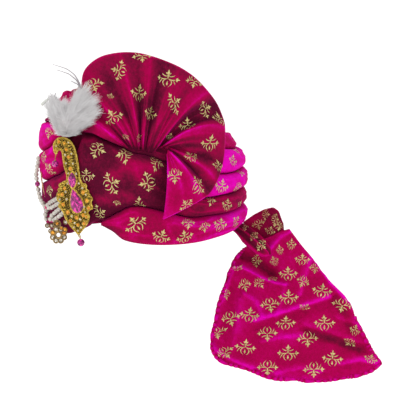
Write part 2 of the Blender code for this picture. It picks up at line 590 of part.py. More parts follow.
def brooch():
    outline = np.asarray(PLATE_OUTLINE, float)
    curve = bpy.data.curves.new("brooch_plate", "CURVE")
    curve.dimensions = "2D"
    curve.fill_mode = "BOTH"
    curve.extrude = PLATE_THICKNESS / 2
    spline = curve.splines.new("POLY")
    spline.points.add(len(outline) - 1)
    for point, place in zip(spline.points, outline):
        point.co = (0.001 * place[0], 0.001 * place[1], 0.0, 1.0)
    spline.use_cyclic_u = True
    plate = bpy.data.objects.new("brooch_plate", curve)
    TURBAN.objects.link(plate)
    curve.materials.append(material("gilt_metal"))
    origin, across, up, out = brooch_frame()
    rows = [Vector(v) for v in (across, up, out)]
    place = origin + out * PLATE_THICKNESS / 2
    for i, vector in enumerate(rows):
        for j in range(3):
            plate.matrix_world[j][i] = vector[j]
    plate.matrix_world.translation = Vector(place)
    turn = np.linspace(0, 2 * np.pi, 12, endpoint=False)
    pointed = np.stack([np.sin(turn) * np.abs(np.sin(turn)) ** 0.4, np.cos(turn)], axis=-1)
    cut_stone("marquise_stone", MARQUISE[:2] + pointed * MARQUISE[2:], 0.0042, "pink_glass")
    width = np.sin(turn) * np.clip((1 - np.cos(turn)) / 2, 0, 1) ** 0.55 * 1.18
    drop = np.stack([width, np.cos(turn)], axis=-1) * TEARDROP[2:]
    c, s = math.cos(TEARDROP_TILT), math.sin(TEARDROP_TILT)
    drop = drop @ np.array([[-c, s], [s, c]])
    cut_stone("teardrop_stone", np.array(TEARDROP[:2]) + drop[::-1], 0.0050, "pink_glass")
    ring = np.linspace(0, 2 * np.pi, 8, endpoint=False)
    for i, (x, y, radius) in enumerate(SMALL_STONES):
        outline = np.stack([x + radius * np.cos(ring), y + radius * np.sin(ring)], axis=-1)
        cut_stone(f"small_stone_{i + 1:02d}", outline, 0.0020, "amber_glass")


def ball(name, centre, radius, look, sides=12, rings=7):
    bpy.ops.mesh.primitive_uv_sphere_add(segments=sides, ring_count=rings, radius=radius,
                                         location=Vector(centre))
    made = bpy.context.object
    made.name = name
    for home in list(made.users_collection):
        home.objects.unlink(made)
    TURBAN.objects.link(made)
    made.data.materials.append(material(look))
    return made


def carried(path, sides, radius, closed=False):
    """Rings of this radius along a path, held upright to a frame that turns with it."""
    tangent = np.gradient(path, axis=0)
    if closed:
        tangent = np.roll(path, -1, axis=0) - np.roll(path, 1, axis=0)
    tangent /= np.linalg.norm(tangent, axis=1, keepdims=True)
    first = np.cross(tangent, OUT)
    first /= np.linalg.norm(first, axis=1, keepdims=True)
    second = np.cross(tangent, first)
    turn = np.linspace(0, 2 * np.pi, sides, endpoint=False)
    return (path[:, None] + radius[:, None, None]
            * (np.cos(turn)[:, None] * first[:, None] + np.sin(turn)[:, None] * second[:, None]))


def string_of_beads(name, path, radius, pitch, look, closed=False):
    """A string of round beads as one solid: a tube whose radius swells at each bead."""
    ends = np.vstack([path, path[:1]]) if closed else path
    length = np.concatenate([[0], np.cumsum(np.linalg.norm(np.diff(ends, axis=0), axis=1))])
    count = max(2, round(length[-1] / pitch))
    pitch = length[-1] / count
    part = np.array([-0.46, -0.25, 0.25, 0.46])
    at = ((np.arange(count)[:, None] + 0.5 + part) * pitch).reshape(-1)
    swell = np.maximum(np.sqrt(np.maximum(radius**2 - (part * pitch) ** 2, 0)), 0.0007)
    points = np.stack([np.interp(at, length, ends[:, i]) for i in range(3)], axis=-1)
    loft(name, carried(points, 10, np.tile(swell, count), closed), look, closed)


def pearls():
    for name, table in STRINGS.items():
        across, up = placed(*edge_points(table, 40).T)
        path = seen(across, up, seated(across, up, 0.001 * STRING_LIFT[name]))
        for _ in range(6):
            path[1:-1] = (path[:-2] + path[1:-1] * 2 + path[2:]) / 4
        string_of_beads(name, path, PEARL_RADIUS, PEARL_PITCH, "pearl")
    across, up = placed(*SPACER[:2])
    ball("spacer_bead", seen(across, up, seated(across, up, 0.0040)), 0.001 * SPACER[2],
         "pink_glass")
    across, up = placed(*STONE_RING[:2])
    ring, thick = (0.001 * v for v in STONE_RING[2:])
    out = seated(across, 0.004, 0.0062)
    turn = np.linspace(0, 2 * np.pi, 36, endpoint=False)
    path = seen(across + ring * np.cos(turn), up + ring * np.sin(turn), np.full(36, out))
    string_of_beads("stone_ring", path, thick, 2 * np.pi * ring / 7, "gilt_metal", closed=True)
    across, up = across + 0.001 * STONE_DISC[0], up + 0.001 * STONE_DISC[1]
    radius = 0.001 * STONE_DISC[2]
    centre = seen(across, up, seated(across, up, 0.0052))
    turn = np.linspace(0, 2 * np.pi, 12, endpoint=False)
    ring = np.cos(turn)[:, None] * ACROSS + np.sin(turn)[:, None] * UP
    rings = [centre + radius * scale * ring + OUT * rise
             for scale, rise in ((0.9, 0.0), (1.0, 0.001), (1.0, 0.002), (0.55, 0.0036))]
    loft("stone_disc", rings, "gilt_metal")


def hanging_beads():
    for name, (x, y, radius) in (("hook_bead", HOOK_BEAD), ("drop_bead", DROP_BEAD)):
        centre = on_brooch((x, y), 0.0030 if name == "hook_bead" else 0.0010)
        ball(name, centre, 0.001 * radius, "pink_glass", 12, 8)
    top = on_brooch((4.4, -58.2), 0.0010)
    low = on_brooch((DROP_BEAD[0], DROP_BEAD[1] + DROP_BEAD[2]), 0.0010)
    low, top = low + (top - low) * 0.12, top
    path = top + (low - top) * np.linspace(0, 1, 5)[:, None]
    loft("drop_link", carried(path, 6, np.full(5, 0.0008)), "gilt_metal")


def plume():
    """The plume: an egg of down whose radius swells into locks."""
    columns, rows = 24, 13
    azimuth = np.linspace(0, 2 * np.pi, columns, endpoint=False)
    height = np.linspace(-np.pi / 2, np.pi / 2, rows)[1:-1, None]
    ray = np.stack(np.broadcast_arrays(np.sin(azimuth) * np.cos(height), np.sin(height),
                                       np.cos(azimuth) * np.cos(height)), axis=-1)
    poles = np.array([[0.0, -1.0, 0.0], [0.0, 1.0, 0.0]])
    ray = np.concatenate([ray.reshape(-1, 3), poles])
    reach = np.ones(len(ray))
    for around_it, above, more, spread in PLUME_LOCKS:
        a, h = math.radians(around_it), math.radians(above)
        centre = np.array([math.sin(a) * math.cos(h), math.sin(h), math.cos(a) * math.cos(h)])
        angle = np.degrees(np.arccos(np.clip(ray @ centre, -1, 1)))
        reach += more * np.exp(-((angle / spread) ** 2))
    local = ray * reach[:, None] * np.asarray(PLUME_HALF)
    # Narrows to the root, where the barbs come together behind the hook.
    low = np.clip((-local[:, 1]) / PLUME_HALF[1], 0, 1)
    local[:, 0] *= 1 - 0.62 * low**1.5
    local[:, 2] = local[:, 2] * (1 - 0.45 * low**1.5) - PLUME_ROOT_BACK * low**1.2
    local[:, 0] -= PLUME_ROOT_ASIDE * low
    across, up = placed(*PLUME_ROOT)
    up = up + 0.001 * PLUME_HALF[1]
    out = seated(across, up, 0.033)
    points = seen(across + 0.001 * local[:, 0], up + 0.001 * local[:, 1],
                  out + 0.001 * local[:, 2])
    index = np.arange(columns * (rows - 2)).reshape(rows - 2, columns)
    faces = []
    for i in range(rows - 3):
        for j in range(columns):
            k = (j + 1) % columns
            faces.append((index[i, j], index[i, k], index[i + 1, k], index[i + 1, j]))
    for j in range(columns):
        k = (j + 1) % columns
        faces.append((len(points) - 2, index[0, k], index[0, j]))
        faces.append((len(points) - 1, index[-1, j], index[-1, k]))
    add_mesh("plume", points, faces, "white_marabou")
    start = 0.001 * np.array(QUILL_START) * PLUME_HALF[:2]
    reach = start + 0.001 * np.array(QUILL_LENGTH) * np.linspace(0, 1, 3)[:, None]
    path = seen(across + reach[:, 0], up + reach[:, 1], out)
    loft("quill", carried(path, 8, np.full(3, QUILL_RADIUS)), "quill_horn")


clear_scene()
TURBAN = bpy.data.collections.new("tied_turban")
bpy.context.scene.collection.children.link(TURBAN)
crown_base()
crown_cover()
wound_turns()
side_fan()
tail()
brooch()
pearls()
hanging_beads()
plume()
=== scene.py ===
"""Dresses the tied turban: wound velvet with gold foil print, pleated fan, tail and brooch.

Every shape is a surface worked out on a grid or a profile carried along a path. Places
given as seen are across, up and out from the front left, where the turban is viewed.
"""
import math

import bmesh
import bpy
import numpy as np
from mathutils import Matrix, Vector


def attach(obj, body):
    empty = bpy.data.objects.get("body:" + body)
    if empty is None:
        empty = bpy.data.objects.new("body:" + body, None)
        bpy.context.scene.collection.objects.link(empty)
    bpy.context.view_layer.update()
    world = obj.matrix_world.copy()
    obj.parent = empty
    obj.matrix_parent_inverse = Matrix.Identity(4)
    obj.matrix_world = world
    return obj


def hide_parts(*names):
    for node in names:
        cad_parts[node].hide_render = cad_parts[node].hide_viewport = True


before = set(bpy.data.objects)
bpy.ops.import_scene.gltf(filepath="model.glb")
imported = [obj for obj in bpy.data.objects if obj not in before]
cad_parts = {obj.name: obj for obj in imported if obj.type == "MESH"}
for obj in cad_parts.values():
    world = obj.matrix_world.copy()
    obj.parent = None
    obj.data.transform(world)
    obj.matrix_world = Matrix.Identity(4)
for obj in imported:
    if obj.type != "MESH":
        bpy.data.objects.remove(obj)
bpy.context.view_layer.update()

# Driving sizes, in metres.
HALF_LENGTH = 0.1354
HALF_WIDTH = 0.1204
HEAD_HALF_LENGTH = 0.098
HEAD_HALF_WIDTH = 0.083
HEAD_DEPTH = 0.122
HEAD_STRAIGHT = 0.060
CROWN_HEIGHT = 0.183
WRAP_THICKNESS = 0.010
PIECE_GAP = 0.0009
SEAM_GAP = 0.013
VELVET_THICKNESS = 0.0014
FOIL_LIFT = 0.00028
FAN_STAND_OFF = 0.0096
PEARL_RADIUS = 0.0030
PEARL_PITCH = 0.0055
SEEN_AZIMUTH = math.radians(58)
SEEN_ELEVATION = math.radians(5)
# The tables of places count steps of this size, x to the right and y down, with the
# origin of the turban at this x and y.
STEP = 0.00126
ORIGIN_X, ORIGIN_Y = 142.5, 232.0
PICTURE_STEPS = 416
CAMERA_DISTANCE = 16.0
FLOOR_HEIGHT = -0.26
# Degrees between a whole turn's points, its points across, and how deep the cloth dips
# into a seam.
TURN_STEP = 1.25
TURN_COLUMNS = 34
SEAM_DIP = 0.0078
# Where each turn starts and ends, in degrees round from the wearer's left.
COILS_START = -11.4
COIL_3_END, COIL_4_END = 288, 283
COIL_5_START, COIL_5_END = -54, 235.5
BAND_START, BAND_END = 232.2, 348

# One row for each level of the winding: height at front, left, back and right as a
# part of CROWN_HEIGHT, then the level's size as a part of the widest one.
LEVELS = np.array([
    (0.02, -0.044, 0.07, 0.012, 0.90),
    (0.35, 0.145, 0.20, 0.25, 0.965),
    (0.563, 0.285, 0.32, 0.44, 0.985),
    (0.77, 0.47, 0.455, 0.60, 0.965),
    (0.907, 0.67, 0.59, 0.74, 0.91),
    (1.0, 0.83, 0.69, 0.85, 0.80),
    (0.985, 0.885, 0.79, 0.895, 0.53),
    (0.90, 0.90, 0.90, 0.90, 0.0),
])
LEVEL_TABLE = np.column_stack([np.arange(len(LEVELS)), LEVELS])

# Seams between the turns: degrees round from the wearer's left, then the level.
BAND_BOTTOM = ((-128, 0.0), (-84, 0.0), (-74, 0.13), (-65, 0.30), (-60, 0.39), (-55, 0.45),
               (-50, 0.56), (-43, 0.74), (-38, 0.92), (-35, 1.04), (-30, 1.13), (-24, 1.15),
               (-12, 1.10), (0, 0.98), (15, 1.13), (30, 1.17), (50, 1.28), (90, 1.15),
               (180, 1.0), (232, 1.05))
COIL_5_BOTTOM = ((-55, 0.36), (-48, 0.27), (-40, 0.07), (-30, 0.0), (6, 0.0), (24, 0.06),
                 (58, 0.08), (110, 0.0), (236, 0.0))
BAND_TOP = ((232, 1.05), (253, 1.09), (269, 1.31), (280, 1.59), (286, 2.04), (292, 2.62),
            (295, 3.15), (303, 3.24), (309, 3.17), (319, 3.13), (325, 3.08), (334, 3.17),
            (348, 3.18))
SEAM_2 = ((-12, 2.05), (10, 2.08), (25, 2.22), (47, 2.30), (90, 2.15), (180, 2.0),
          (245, 2.0), (261, 2.2), (273, 2.52), (282, 2.78), (288, 2.90))
SEAM_3 = ((-12, 3.12), (22, 3.06), (55, 3.16), (90, 3.1), (180, 3.0), (245, 3.05),
          (288, 3.13), (295, 3.15), (303, 3.24), (309, 3.17), (319, 3.13), (325, 3.08),
          (334, 3.17), (348, 3.12))
# How far each turn stands out between its seams, in millimetres, by degrees round.
BULGE_1 = ((-180, 4.0), (-75, 4.0), (-60, 1.0), (5, 1.0), (20, 4.0), (180, 4.0))
BULGE_2 = ((-180, 5.0), (-150, 3.0), (-122, 1.0), (-64, 4.0), (-48, -4.5), (-6, -4.5),
           (10, 4.2), (58, 6.4), (100, 5.4), (180, 5.0))
BULGE_3 = ((-12, -3.0), (6, 3.0), (20, 3.8), (195, 4.5), (225, 2.0), (290, 1.0))
BULGE_4 = ((-12, -1.0), (6, 2.0), (20, 1.8), (200, 2.5), (240, 2.2), (290, 2.0))
BULGE_5 = ((-55, 0.5), (-40, 4.0), (0, 5.5), (60, 6.4), (180, 6.0), (240, 5.0))
BULGE_BAND = ((228, 2.2), (240, 2.9), (265, 1.2), (300, 3.5), (320, 4.0), (335, 2.0), (348, -2.0))
# The crown's cover: the levels that it goes from and to, and its grid's columns.
COVER_START, COVER_TOP, COVER_COLUMNS = 5.095, 7.0, 54
# How light each turn is, 0 to 1, by degrees round: the velvet's tone with a painted sheen.
TONE_AND_SHEEN_1 = ((-180, 0.55), (-90, 0.5), (0, 0.5), (60, 0.6), (180, 0.55))
TONE_AND_SHEEN_2 = ((-180, 0.45), (-120, 0.2), (-60, 0.3), (-10, 0.22), (8, 0.9), (60, 0.9), (180, 0.45))
TONE_AND_SHEEN_3 = ((-12, 0.2), (8, 0.78), (60, 0.76), (180, 0.5), (225, 0.62), (265, 0.62), (288, 0.46))
TONE_AND_SHEEN_4 = ((-12, 0.34), (10, 0.31), (60, 0.32), (180, 0.4), (215, 0.60), (262, 0.62), (288, 0.46))
TONE_AND_SHEEN_5 = ((-55, 0.22), (-32, 0.42), (-15, 0.44), (5, 0.56), (18, 0.76), (60, 0.76), (180, 0.5),
         (204, 0.38), (226, 0.18), (236, 0.1))
TONE_AND_SHEEN_BAND = ((228, 0.2), (245, 0.09), (262, 0.06), (275, 0.11), (300, 0.13), (348, 0.10))


def pictured(x, y):
    """Across and up, in metres, of a place in the tables."""
    return (np.asarray(x, float) - ORIGIN_X) * STEP, (ORIGIN_Y - np.asarray(y, float)) * STEP


ACROSS = np.array([math.cos(SEEN_AZIMUTH), math.sin(SEEN_AZIMUTH), 0.0])
LEVEL_OUT = np.array([math.sin(SEEN_AZIMUTH), -math.cos(SEEN_AZIMUTH), 0.0])
OUT = LEVEL_OUT * math.cos(SEEN_ELEVATION) + np.array([0, 0, math.sin(SEEN_ELEVATION)])
UP = np.cross(OUT, ACROSS)


def seen(across, up, out):
    """The point at these places across, up and out of the direction it is seen from."""
    across, up, out = np.broadcast_arrays(across, up, out)
    return across[..., None] * ACROSS + up[..., None] * UP + out[..., None] * OUT


def turns(count):
    """Angles evenly round a circle, starting at zero."""
    return np.linspace(0, 2 * np.pi, count, endpoint=False)


def unit(vectors):
    """The vectors at length one."""
    return vectors / np.maximum(np.linalg.norm(vectors, axis=-1, keepdims=True), 1e-12)


def set_camera():
    """A long lens far off, so that the turban is drawn nearly without perspective."""
    data = bpy.data.cameras.new("camera")
    data.sensor_width = 36.0
    data.lens = data.sensor_width * CAMERA_DISTANCE / (PICTURE_STEPS * STEP)
    data.clip_start = 1.0
    data.clip_end = 100.0
    made = bpy.data.objects.new("camera", data)
    bpy.context.scene.collection.objects.link(made)
    across, up = pictured(PICTURE_STEPS / 2, PICTURE_STEPS / 2)
    place = seen(across, up, CAMERA_DISTANCE)
    turn = Matrix([list(v) for v in np.stack([ACROSS, UP, OUT], axis=1)])
    made.matrix_world = Matrix.Translation(Vector(place)) @ turn.to_4x4()
    bpy.context.scene.camera = made


set_camera()


# Colours and finishes.

def linear(hex_code):
    """Linear red, green, blue and alpha of an sRGB hex value."""
    parts = np.array([int(hex_code[k:k + 2], 16) for k in (1, 3, 5)]) / 255
    parts = np.where(parts <= 0.04045, parts / 12.92, ((parts + 0.055) / 1.055) ** 2.4)
    return (*parts, 1.0)


def node(tree, kind, inputs=(), **settings):
    """Adds a node with its settings; an input is a value, or the socket it comes from."""
    made = tree.nodes.new(kind)
    for key, value in settings.items():
        setattr(made, key, value)
    for name, value in dict(inputs).items():
        if isinstance(value, bpy.types.NodeSocket):
            tree.links.new(value, made.inputs[name])
        else:
            made.inputs[name].default_value = value
    return made


def finish_named(name, build):
    """A new material: build fills its tree and gives the shader's inputs."""
    made = bpy.data.materials.new(name)
    made.use_nodes = True
    tree = made.node_tree
    shader = tree.nodes["Principled BSDF"]
    for key, value in build(tree).items():
        if isinstance(value, bpy.types.NodeSocket):
            tree.links.new(value, shader.inputs[key])
        else:
            shader.inputs[key].default_value = value
    return made


def ramp(tree, factor, stops):
    """A colour ramp through these (position, hex) stops."""
    made = node(tree, "ShaderNodeValToRGB", {"Fac": factor})
    line = made.color_ramp
    while len(line.elements) < len(stops):
        line.elements.new(0.5)
    for element, (position, colour) in zip(line.elements, stops):
        element.position = position
        element.color = linear(colour)
    return made.outputs["Color"]


def object_place(tree):
    """Places in the piece's own coordinates, in metres."""
    return node(tree, "ShaderNodeTexCoord").outputs["Object"]


def attribute(tree, name):
    """One of the mesh's own attributes."""
    return node(tree, "ShaderNodeAttribute", attribute_name=name).outputs["Fac"]


def noise(tree, scale, detail=2.0, roughness=0.5):
    """Cloudy noise with this many lumps a metre."""
    return node(tree, "ShaderNodeTexNoise", {"Vector": object_place(tree), "Scale": scale,
                                             "Detail": detail, "Roughness": roughness}
                ).outputs["Fac"]


def rough_bump(tree, scale, strength, depth):
    """Fine noise and the relief that it gives: so many bumps a metre, this deep."""
    grain = noise(tree, scale)
    bump = node(tree, "ShaderNodeBump", {"Height": grain, "Strength": strength,
                                         "Distance": depth})
    return grain, bump.outputs["Normal"]


def sum_of(tree, *terms):
    """The terms' sum, each a socket or a (socket, factor, offset) term."""
    total = None
    for term in terms:
        if isinstance(term, tuple):
            term = node(tree, "ShaderNodeMath", {0: term[0], 1: term[1], 2: term[2]},
                        operation="MULTIPLY_ADD").outputs[0]
        total = term if total is None else node(
            tree, "ShaderNodeMath", {0: total, 1: term}, operation="ADD").outputs[0]
    return total


def velvet(tree):
    """Silk-look polyester velvet: a dark wine ground whose pile turns bright magenta.

    The mesh's attribute gives the cloth's tone with painted light: a painted sheen where
    the pile would catch the light, painted highlights on crests and painted shade in
    creases and seams. Brushed patches 20 mm wide, crushed ones of 4 mm and the pile's own
    1 mm tufts vary it, and the sheen lights the edges.
    """
    brushed, crushed = noise(tree, 50.0, 3.0, 0.6), noise(tree, 240.0)
    tufts, relief = rough_bump(tree, 1000.0, 0.5, 0.0006)
    shade = sum_of(tree, attribute(tree, "nap"), (brushed, 0.28, -0.14),
                   (crushed, 0.30, -0.15), (tufts, 0.34, -0.17))
    colour = ramp(tree, shade, ((0.0, "#4E0A24"), (0.16, "#740B32"), (0.32, "#93033C"),
                                (0.48, "#A8004C"), (0.64, "#B80068"), (0.82, "#CE0096"),
                                (1.0, "#DC00B0")))
    return {"Base Color": colour, "Roughness": 0.9, "Normal": relief,
            "Sheen Weight": 0.25, "Sheen Roughness": 0.4, "Sheen Tint": linear("#FF10A8"),
            "Specular IOR Level": 0.04}


def foil(tree):
    """Hot-pressed gold foil: bright where whole, rubbed to a dull olive where worn."""
    colour = ramp(tree, noise(tree, 420.0, 3.0, 0.7),
                  ((0.32, "#7E6040"), (0.44, "#B8A464"), (0.60, "#D2C586"), (0.80, "#E6DEB0")))
    return {"Base Color": colour, "Metallic": 0.35, "Roughness": 0.42,
            "Normal": rough_bump(tree, 1500.0, 0.3, 0.0003)[1]}


def gilt(*hexes):
    """Cast zinc alloy, gilt and antiqued: yellow and brown in patches of noise."""
    def build(tree):
        grime = noise(tree, 380.0, 4.0, 0.65)
        return {"Base Color": ramp(tree, grime, list(zip((0.34, 0.46, 0.60, 0.80), hexes))),
                "Metallic": 0.9, "Roughness": 0.36,
                "Normal": rough_bump(tree, 1300.0, 0.35, 0.0003)[1]}
    return build


def dark_gilt(tree):
    """The plate behind the wirework, where the antiquing collects."""
    pits = node(tree, "ShaderNodeTexVoronoi", {"Vector": object_place(tree), "Scale": 520.0}
                ).outputs["Distance"]
    colour = ramp(tree, pits, ((0.05, "#8E7430"), (0.35, "#5A4418"), (0.75, "#33230C")))
    bump = node(tree, "ShaderNodeBump", {"Height": pits, "Strength": 0.8, "Distance": 0.0007},
                invert=True)
    return {"Base Color": colour, "Metallic": 0.75, "Roughness": 0.5,
            "Normal": bump.outputs["Normal"]}


def glass(dark, middle, bright):
    """Foil-backed cut glass: each facet returns its own share of the light."""
    def build(tree):
        flash = sum_of(tree, attribute(tree, "flash"), (noise(tree, 260.0), 0.5, -0.25))
        colour = ramp(tree, flash, ((0.08, dark), (0.5, middle), (0.9, bright)))
        return {"Base Color": colour, "Roughness": 0.12, "Coat Weight": 0.25,
                "Coat Roughness": 0.05, "IOR": 1.54, "Specular IOR Level": 0.3}
    return build


def pearl(tree):
    """Plastic pearl: a cream core under a lustrous coat, slightly greyer in patches."""
    colour = ramp(tree, noise(tree, 170.0),
                  ((0.3, "#A59E94"), (0.55, "#BFB9AF"), (0.8, "#D8D3CA")))
    return {"Base Color": colour, "Roughness": 0.32, "Coat Weight": 0.5, "Coat Roughness": 0.15}


def marabou(tree):
    """Down: matt white barbs, with painted shade that greys them between and towards the roots.
    """
    colour = ramp(tree, attribute(tree, "nap"),
                  ((0.0, "#8A8186"), (0.4, "#B9B4B6"), (1.0, "#E0DFDF")))
    return {"Base Color": colour, "Roughness": 0.9, "Sheen Weight": 0.3,
            "Specular IOR Level": 0.2}


def horn(tree):
    """The quill's shaft: milky, translucent keratin with faint streaks along it."""
    colour = ramp(tree, noise(tree, 300.0, 3.0),
                  ((0.3, "#B4B6AE"), (0.6, "#CFD1CA"), (0.8, "#E0E1DC")))
    return {"Base Color": colour, "Roughness": 0.45}


def braid(hex_low, hex_high):
    """Twisted rayon cord: fine plies with a soft shine."""
    def build(tree):
        plies, relief = rough_bump(tree, 900.0, 0.5, 0.0004)
        return {"Base Color": ramp(tree, plies, ((0.35, hex_low), (0.65, hex_high))),
                "Roughness": 0.6, "Normal": relief, "Sheen Weight": 0.3}
    return build


LOOKS = {
    "velvet": finish_named("polyester_velvet", velvet),
    "foil": finish_named("gold_foil_print", foil),
    "gilt": finish_named("antique_gilt_alloy", gilt("#664A1E", "#AE9038", "#D6BA54", "#ECD884")),
    "worn": finish_named("worn_gilt_alloy", gilt("#4E3C2A", "#8A7048", "#B09462", "#D2BA8C")),
    "plate": finish_named("antique_gilt_ground", dark_gilt),
    "pink": finish_named("foiled_pink_glass", glass("#4E0A3A", "#96146E", "#EC3EA8")),
    "amber": finish_named("foiled_amber_glass", glass("#8A4404", "#DC860A", "#F8B838")),
    "clear": finish_named("foiled_clear_glass", glass("#6A6052", "#B0A48E", "#F6F0E4")),
    "pearl": finish_named("plastic_pearl", pearl),
    "marabou": finish_named("marabou_down", marabou),
    "horn": finish_named("quill_keratin", horn),
    "pink_braid": finish_named("rayon_braid", braid("#B00A50", "#E0307A")),
    "tan_braid": finish_named("cotton_cord", braid("#B07A50", "#D8A878")),
}


# Meshes.

def assemble(name, parts, look, nodes=(), smooth=True, merge=True, nap=None, flash=None):
    """One piece from lots of (points, faces), which stands for these nodes of the CAD.

    The attribute of tone with painted light and shade goes by vertex, and the flash attribute by
    face.
    """
    start = np.cumsum([0] + [len(points) for points, _ in parts])
    lots = [faces + first for (_, faces), first in zip(parts, start)]
    points = np.concatenate([points for points, _ in parts]).astype(np.float32)
    sides = np.concatenate([np.full(len(f), f.shape[1], np.int32) for f in lots])
    loops = np.concatenate([f.ravel() for f in lots]).astype(np.int32)
    mesh = bpy.data.meshes.new(name)
    mesh.vertices.add(len(points))
    mesh.vertices.foreach_set("co", points.ravel())
    mesh.loops.add(len(loops))
    mesh.loops.foreach_set("vertex_index", loops)
    mesh.polygons.add(len(sides))
    mesh.polygons.foreach_set("loop_start", np.cumsum(sides, dtype=np.int32) - sides)
    mesh.polygons.foreach_set("use_smooth", np.full(len(sides), smooth))
    mesh.update(calc_edges=True)
    for label, domain, values in (("nap", "POINT", nap), ("flash", "FACE", flash)):
        if values is not None:
            layer = mesh.attributes.new(label, "FLOAT", domain)
            layer.data.foreach_set("value", np.asarray(values, np.float32).ravel())
    if merge:
        welded = bmesh.new()
        welded.from_mesh(mesh)
        bmesh.ops.remove_doubles(welded, verts=welded.verts, dist=1e-7)
        welded.to_mesh(mesh)
        welded.free()
    mesh.materials.append(LOOKS[look])
    made = bpy.data.objects.new(name, mesh)
    bpy.context.scene.collection.objects.link(made)
    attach(made, "root")
    if nodes:
        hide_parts(*nodes)
    return made


def grid_faces(rows, columns, wrap_rows=False, wrap_columns=False):
    """Four-sided faces over a grid of points; they face along rows x columns."""
    i = np.arange(rows if wrap_rows else rows - 1)[:, None]
    j = np.arange(columns if wrap_columns else columns - 1)[None]
    corners = [((i + a) % rows) * columns + (j + b) % columns
               for a, b in ((0, 0), (1, 0), (1, 1), (0, 1))]
    return np.stack(np.broadcast_arrays(*corners), axis=-1).reshape(-1, 4)


# Cloth that carries print: its piece, its grid of points and whether the grid closes.
PRINTED = {}


def cloth(name, points, nap, thickness=VELVET_THICKNESS, wrap=False):
    """A velvet sheet over a grid of points, thickened behind its face."""
    rows, columns = points.shape[:2]
    made = assemble(f"{name}_cloth", [(points.reshape(-1, 3), grid_faces(rows, columns, wrap))],
                    "velvet", [name], nap=np.broadcast_to(np.clip(nap, 0, 1), (rows, columns)))
    wall = made.modifiers.new("wall", "SOLIDIFY")
    wall.thickness = thickness
    wall.offset = -1.0
    PRINTED[name] = (made, points, wrap)


def run_along(path):
    """The length along a polyline at each of its points."""
    steps = np.linalg.norm(np.diff(path, axis=0), axis=1)
    return np.concatenate([[0], np.cumsum(steps)])


def read_off(at, places, table):
    """The table's columns at these places along it, in straight steps."""
    return np.stack([np.interp(at, places, column) for column in table.T], axis=-1)


def eased(line, times):
    """The line with its inner points drawn between their neighbours this many times."""
    for _ in range(times):
        line[1:-1] = (line[:-2] + 2 * line[1:-1] + line[2:]) / 4
    return line


def ruffle(x, y, seed, period=None):
    """Smooth noise from -1 to 1: hashed values at whole numbers, eased between them."""
    x, y = np.broadcast_arrays(x, y)
    i, j = np.floor(x), np.floor(y)
    s, t = x - i, y - j
    s, t = s * s * (3 - 2 * s), t * t * (3 - 2 * t)

    def corner(a, b):
        column = (i + a) % period if period else i + a
        value = np.sin(column * 127.1 + (j + b) * 311.7 + seed * 74.7) * 43758.5453
        return 2 * (value - np.floor(value)) - 1

    return ((corner(0, 0) * (1 - s) + corner(1, 0) * s) * (1 - t)
            + (corner(0, 1) * (1 - s) + corner(1, 1) * s) * t)


def smooth(x):
    """Eases from 0 to 1 as x goes from 0 to 1."""
    x = np.clip(x, 0, 1)
    return x * x * (3 - 2 * x)


# The wound body.

def along(table, at):
    """The table's value at each place, eased through its rows by cubic pieces."""
    rows = np.asarray(table, float)
    x, y = rows[:, 0], rows[:, 1:]
    slope = np.gradient(y, x, axis=0) if len(x) > 2 else np.repeat(
        (y[1:] - y[:1]) / (x[1] - x[0]), 2, axis=0)
    at = np.clip(np.asarray(at, float), x[0], x[-1])
    k = np.clip(np.searchsorted(x, at, side="right") - 1, 0, len(x) - 2)
    step = (x[k + 1] - x[k])[..., None]
    t = ((at - x[k])[..., None]) / step
    ease = t * t * (3 - 2 * t)
    value = (y[k] * (1 - ease) + y[k + 1] * ease
             + 0.7 * step * (slope[k] * t * (1 - t) ** 2 - slope[k + 1] * t * t * (1 - t)))
    return value[..., 0] if y.shape[1] == 1 else value


def around(heights, turn):
    """A level's height at this turn, from its front, left, back and right heights."""
    front, left, back, right = (heights[..., i] for i in range(4))
    return ((front + left + back + right) / 4 + (left - right) / 2 * np.cos(turn)
            + (back - front) / 2 * np.sin(turn)
            + (left + right - back - front) / 4 * np.cos(2 * turn))


def bare_skin(turn, level):
    """The wound body: an ellipse at each level, its height worked out by around."""
    row = along(LEVEL_TABLE, level)
    size = row[..., 4]
    return np.stack([size * HALF_WIDTH * np.cos(turn), size * HALF_LENGTH * np.sin(turn),
                     CROWN_HEIGHT * around(row[..., :4], turn)], axis=-1)


def skin(degrees, level, lift):
    """The wound body's surface at this turn and level, moved out along its normal."""
    turn = np.radians(np.asarray(degrees, float))
    turn, level, lift = np.broadcast_arrays(turn, level, lift)
    step = 1e-3
    near = np.clip(level, 2 * step, len(LEVELS) - 1 - 0.02)
    round_it = bare_skin(turn + step, near) - bare_skin(turn - step, near)
    up_it = bare_skin(turn, near + step) - bare_skin(turn, near - step)
    normal = unit(np.cross(round_it, up_it))
    centre = (level > len(LEVELS) - 1 - 1e-6)[..., None]
    normal = np.where(centre, np.array([0.0, 0.0, 1.0]), normal)
    return bare_skin(turn, level) + lift[..., None] * normal


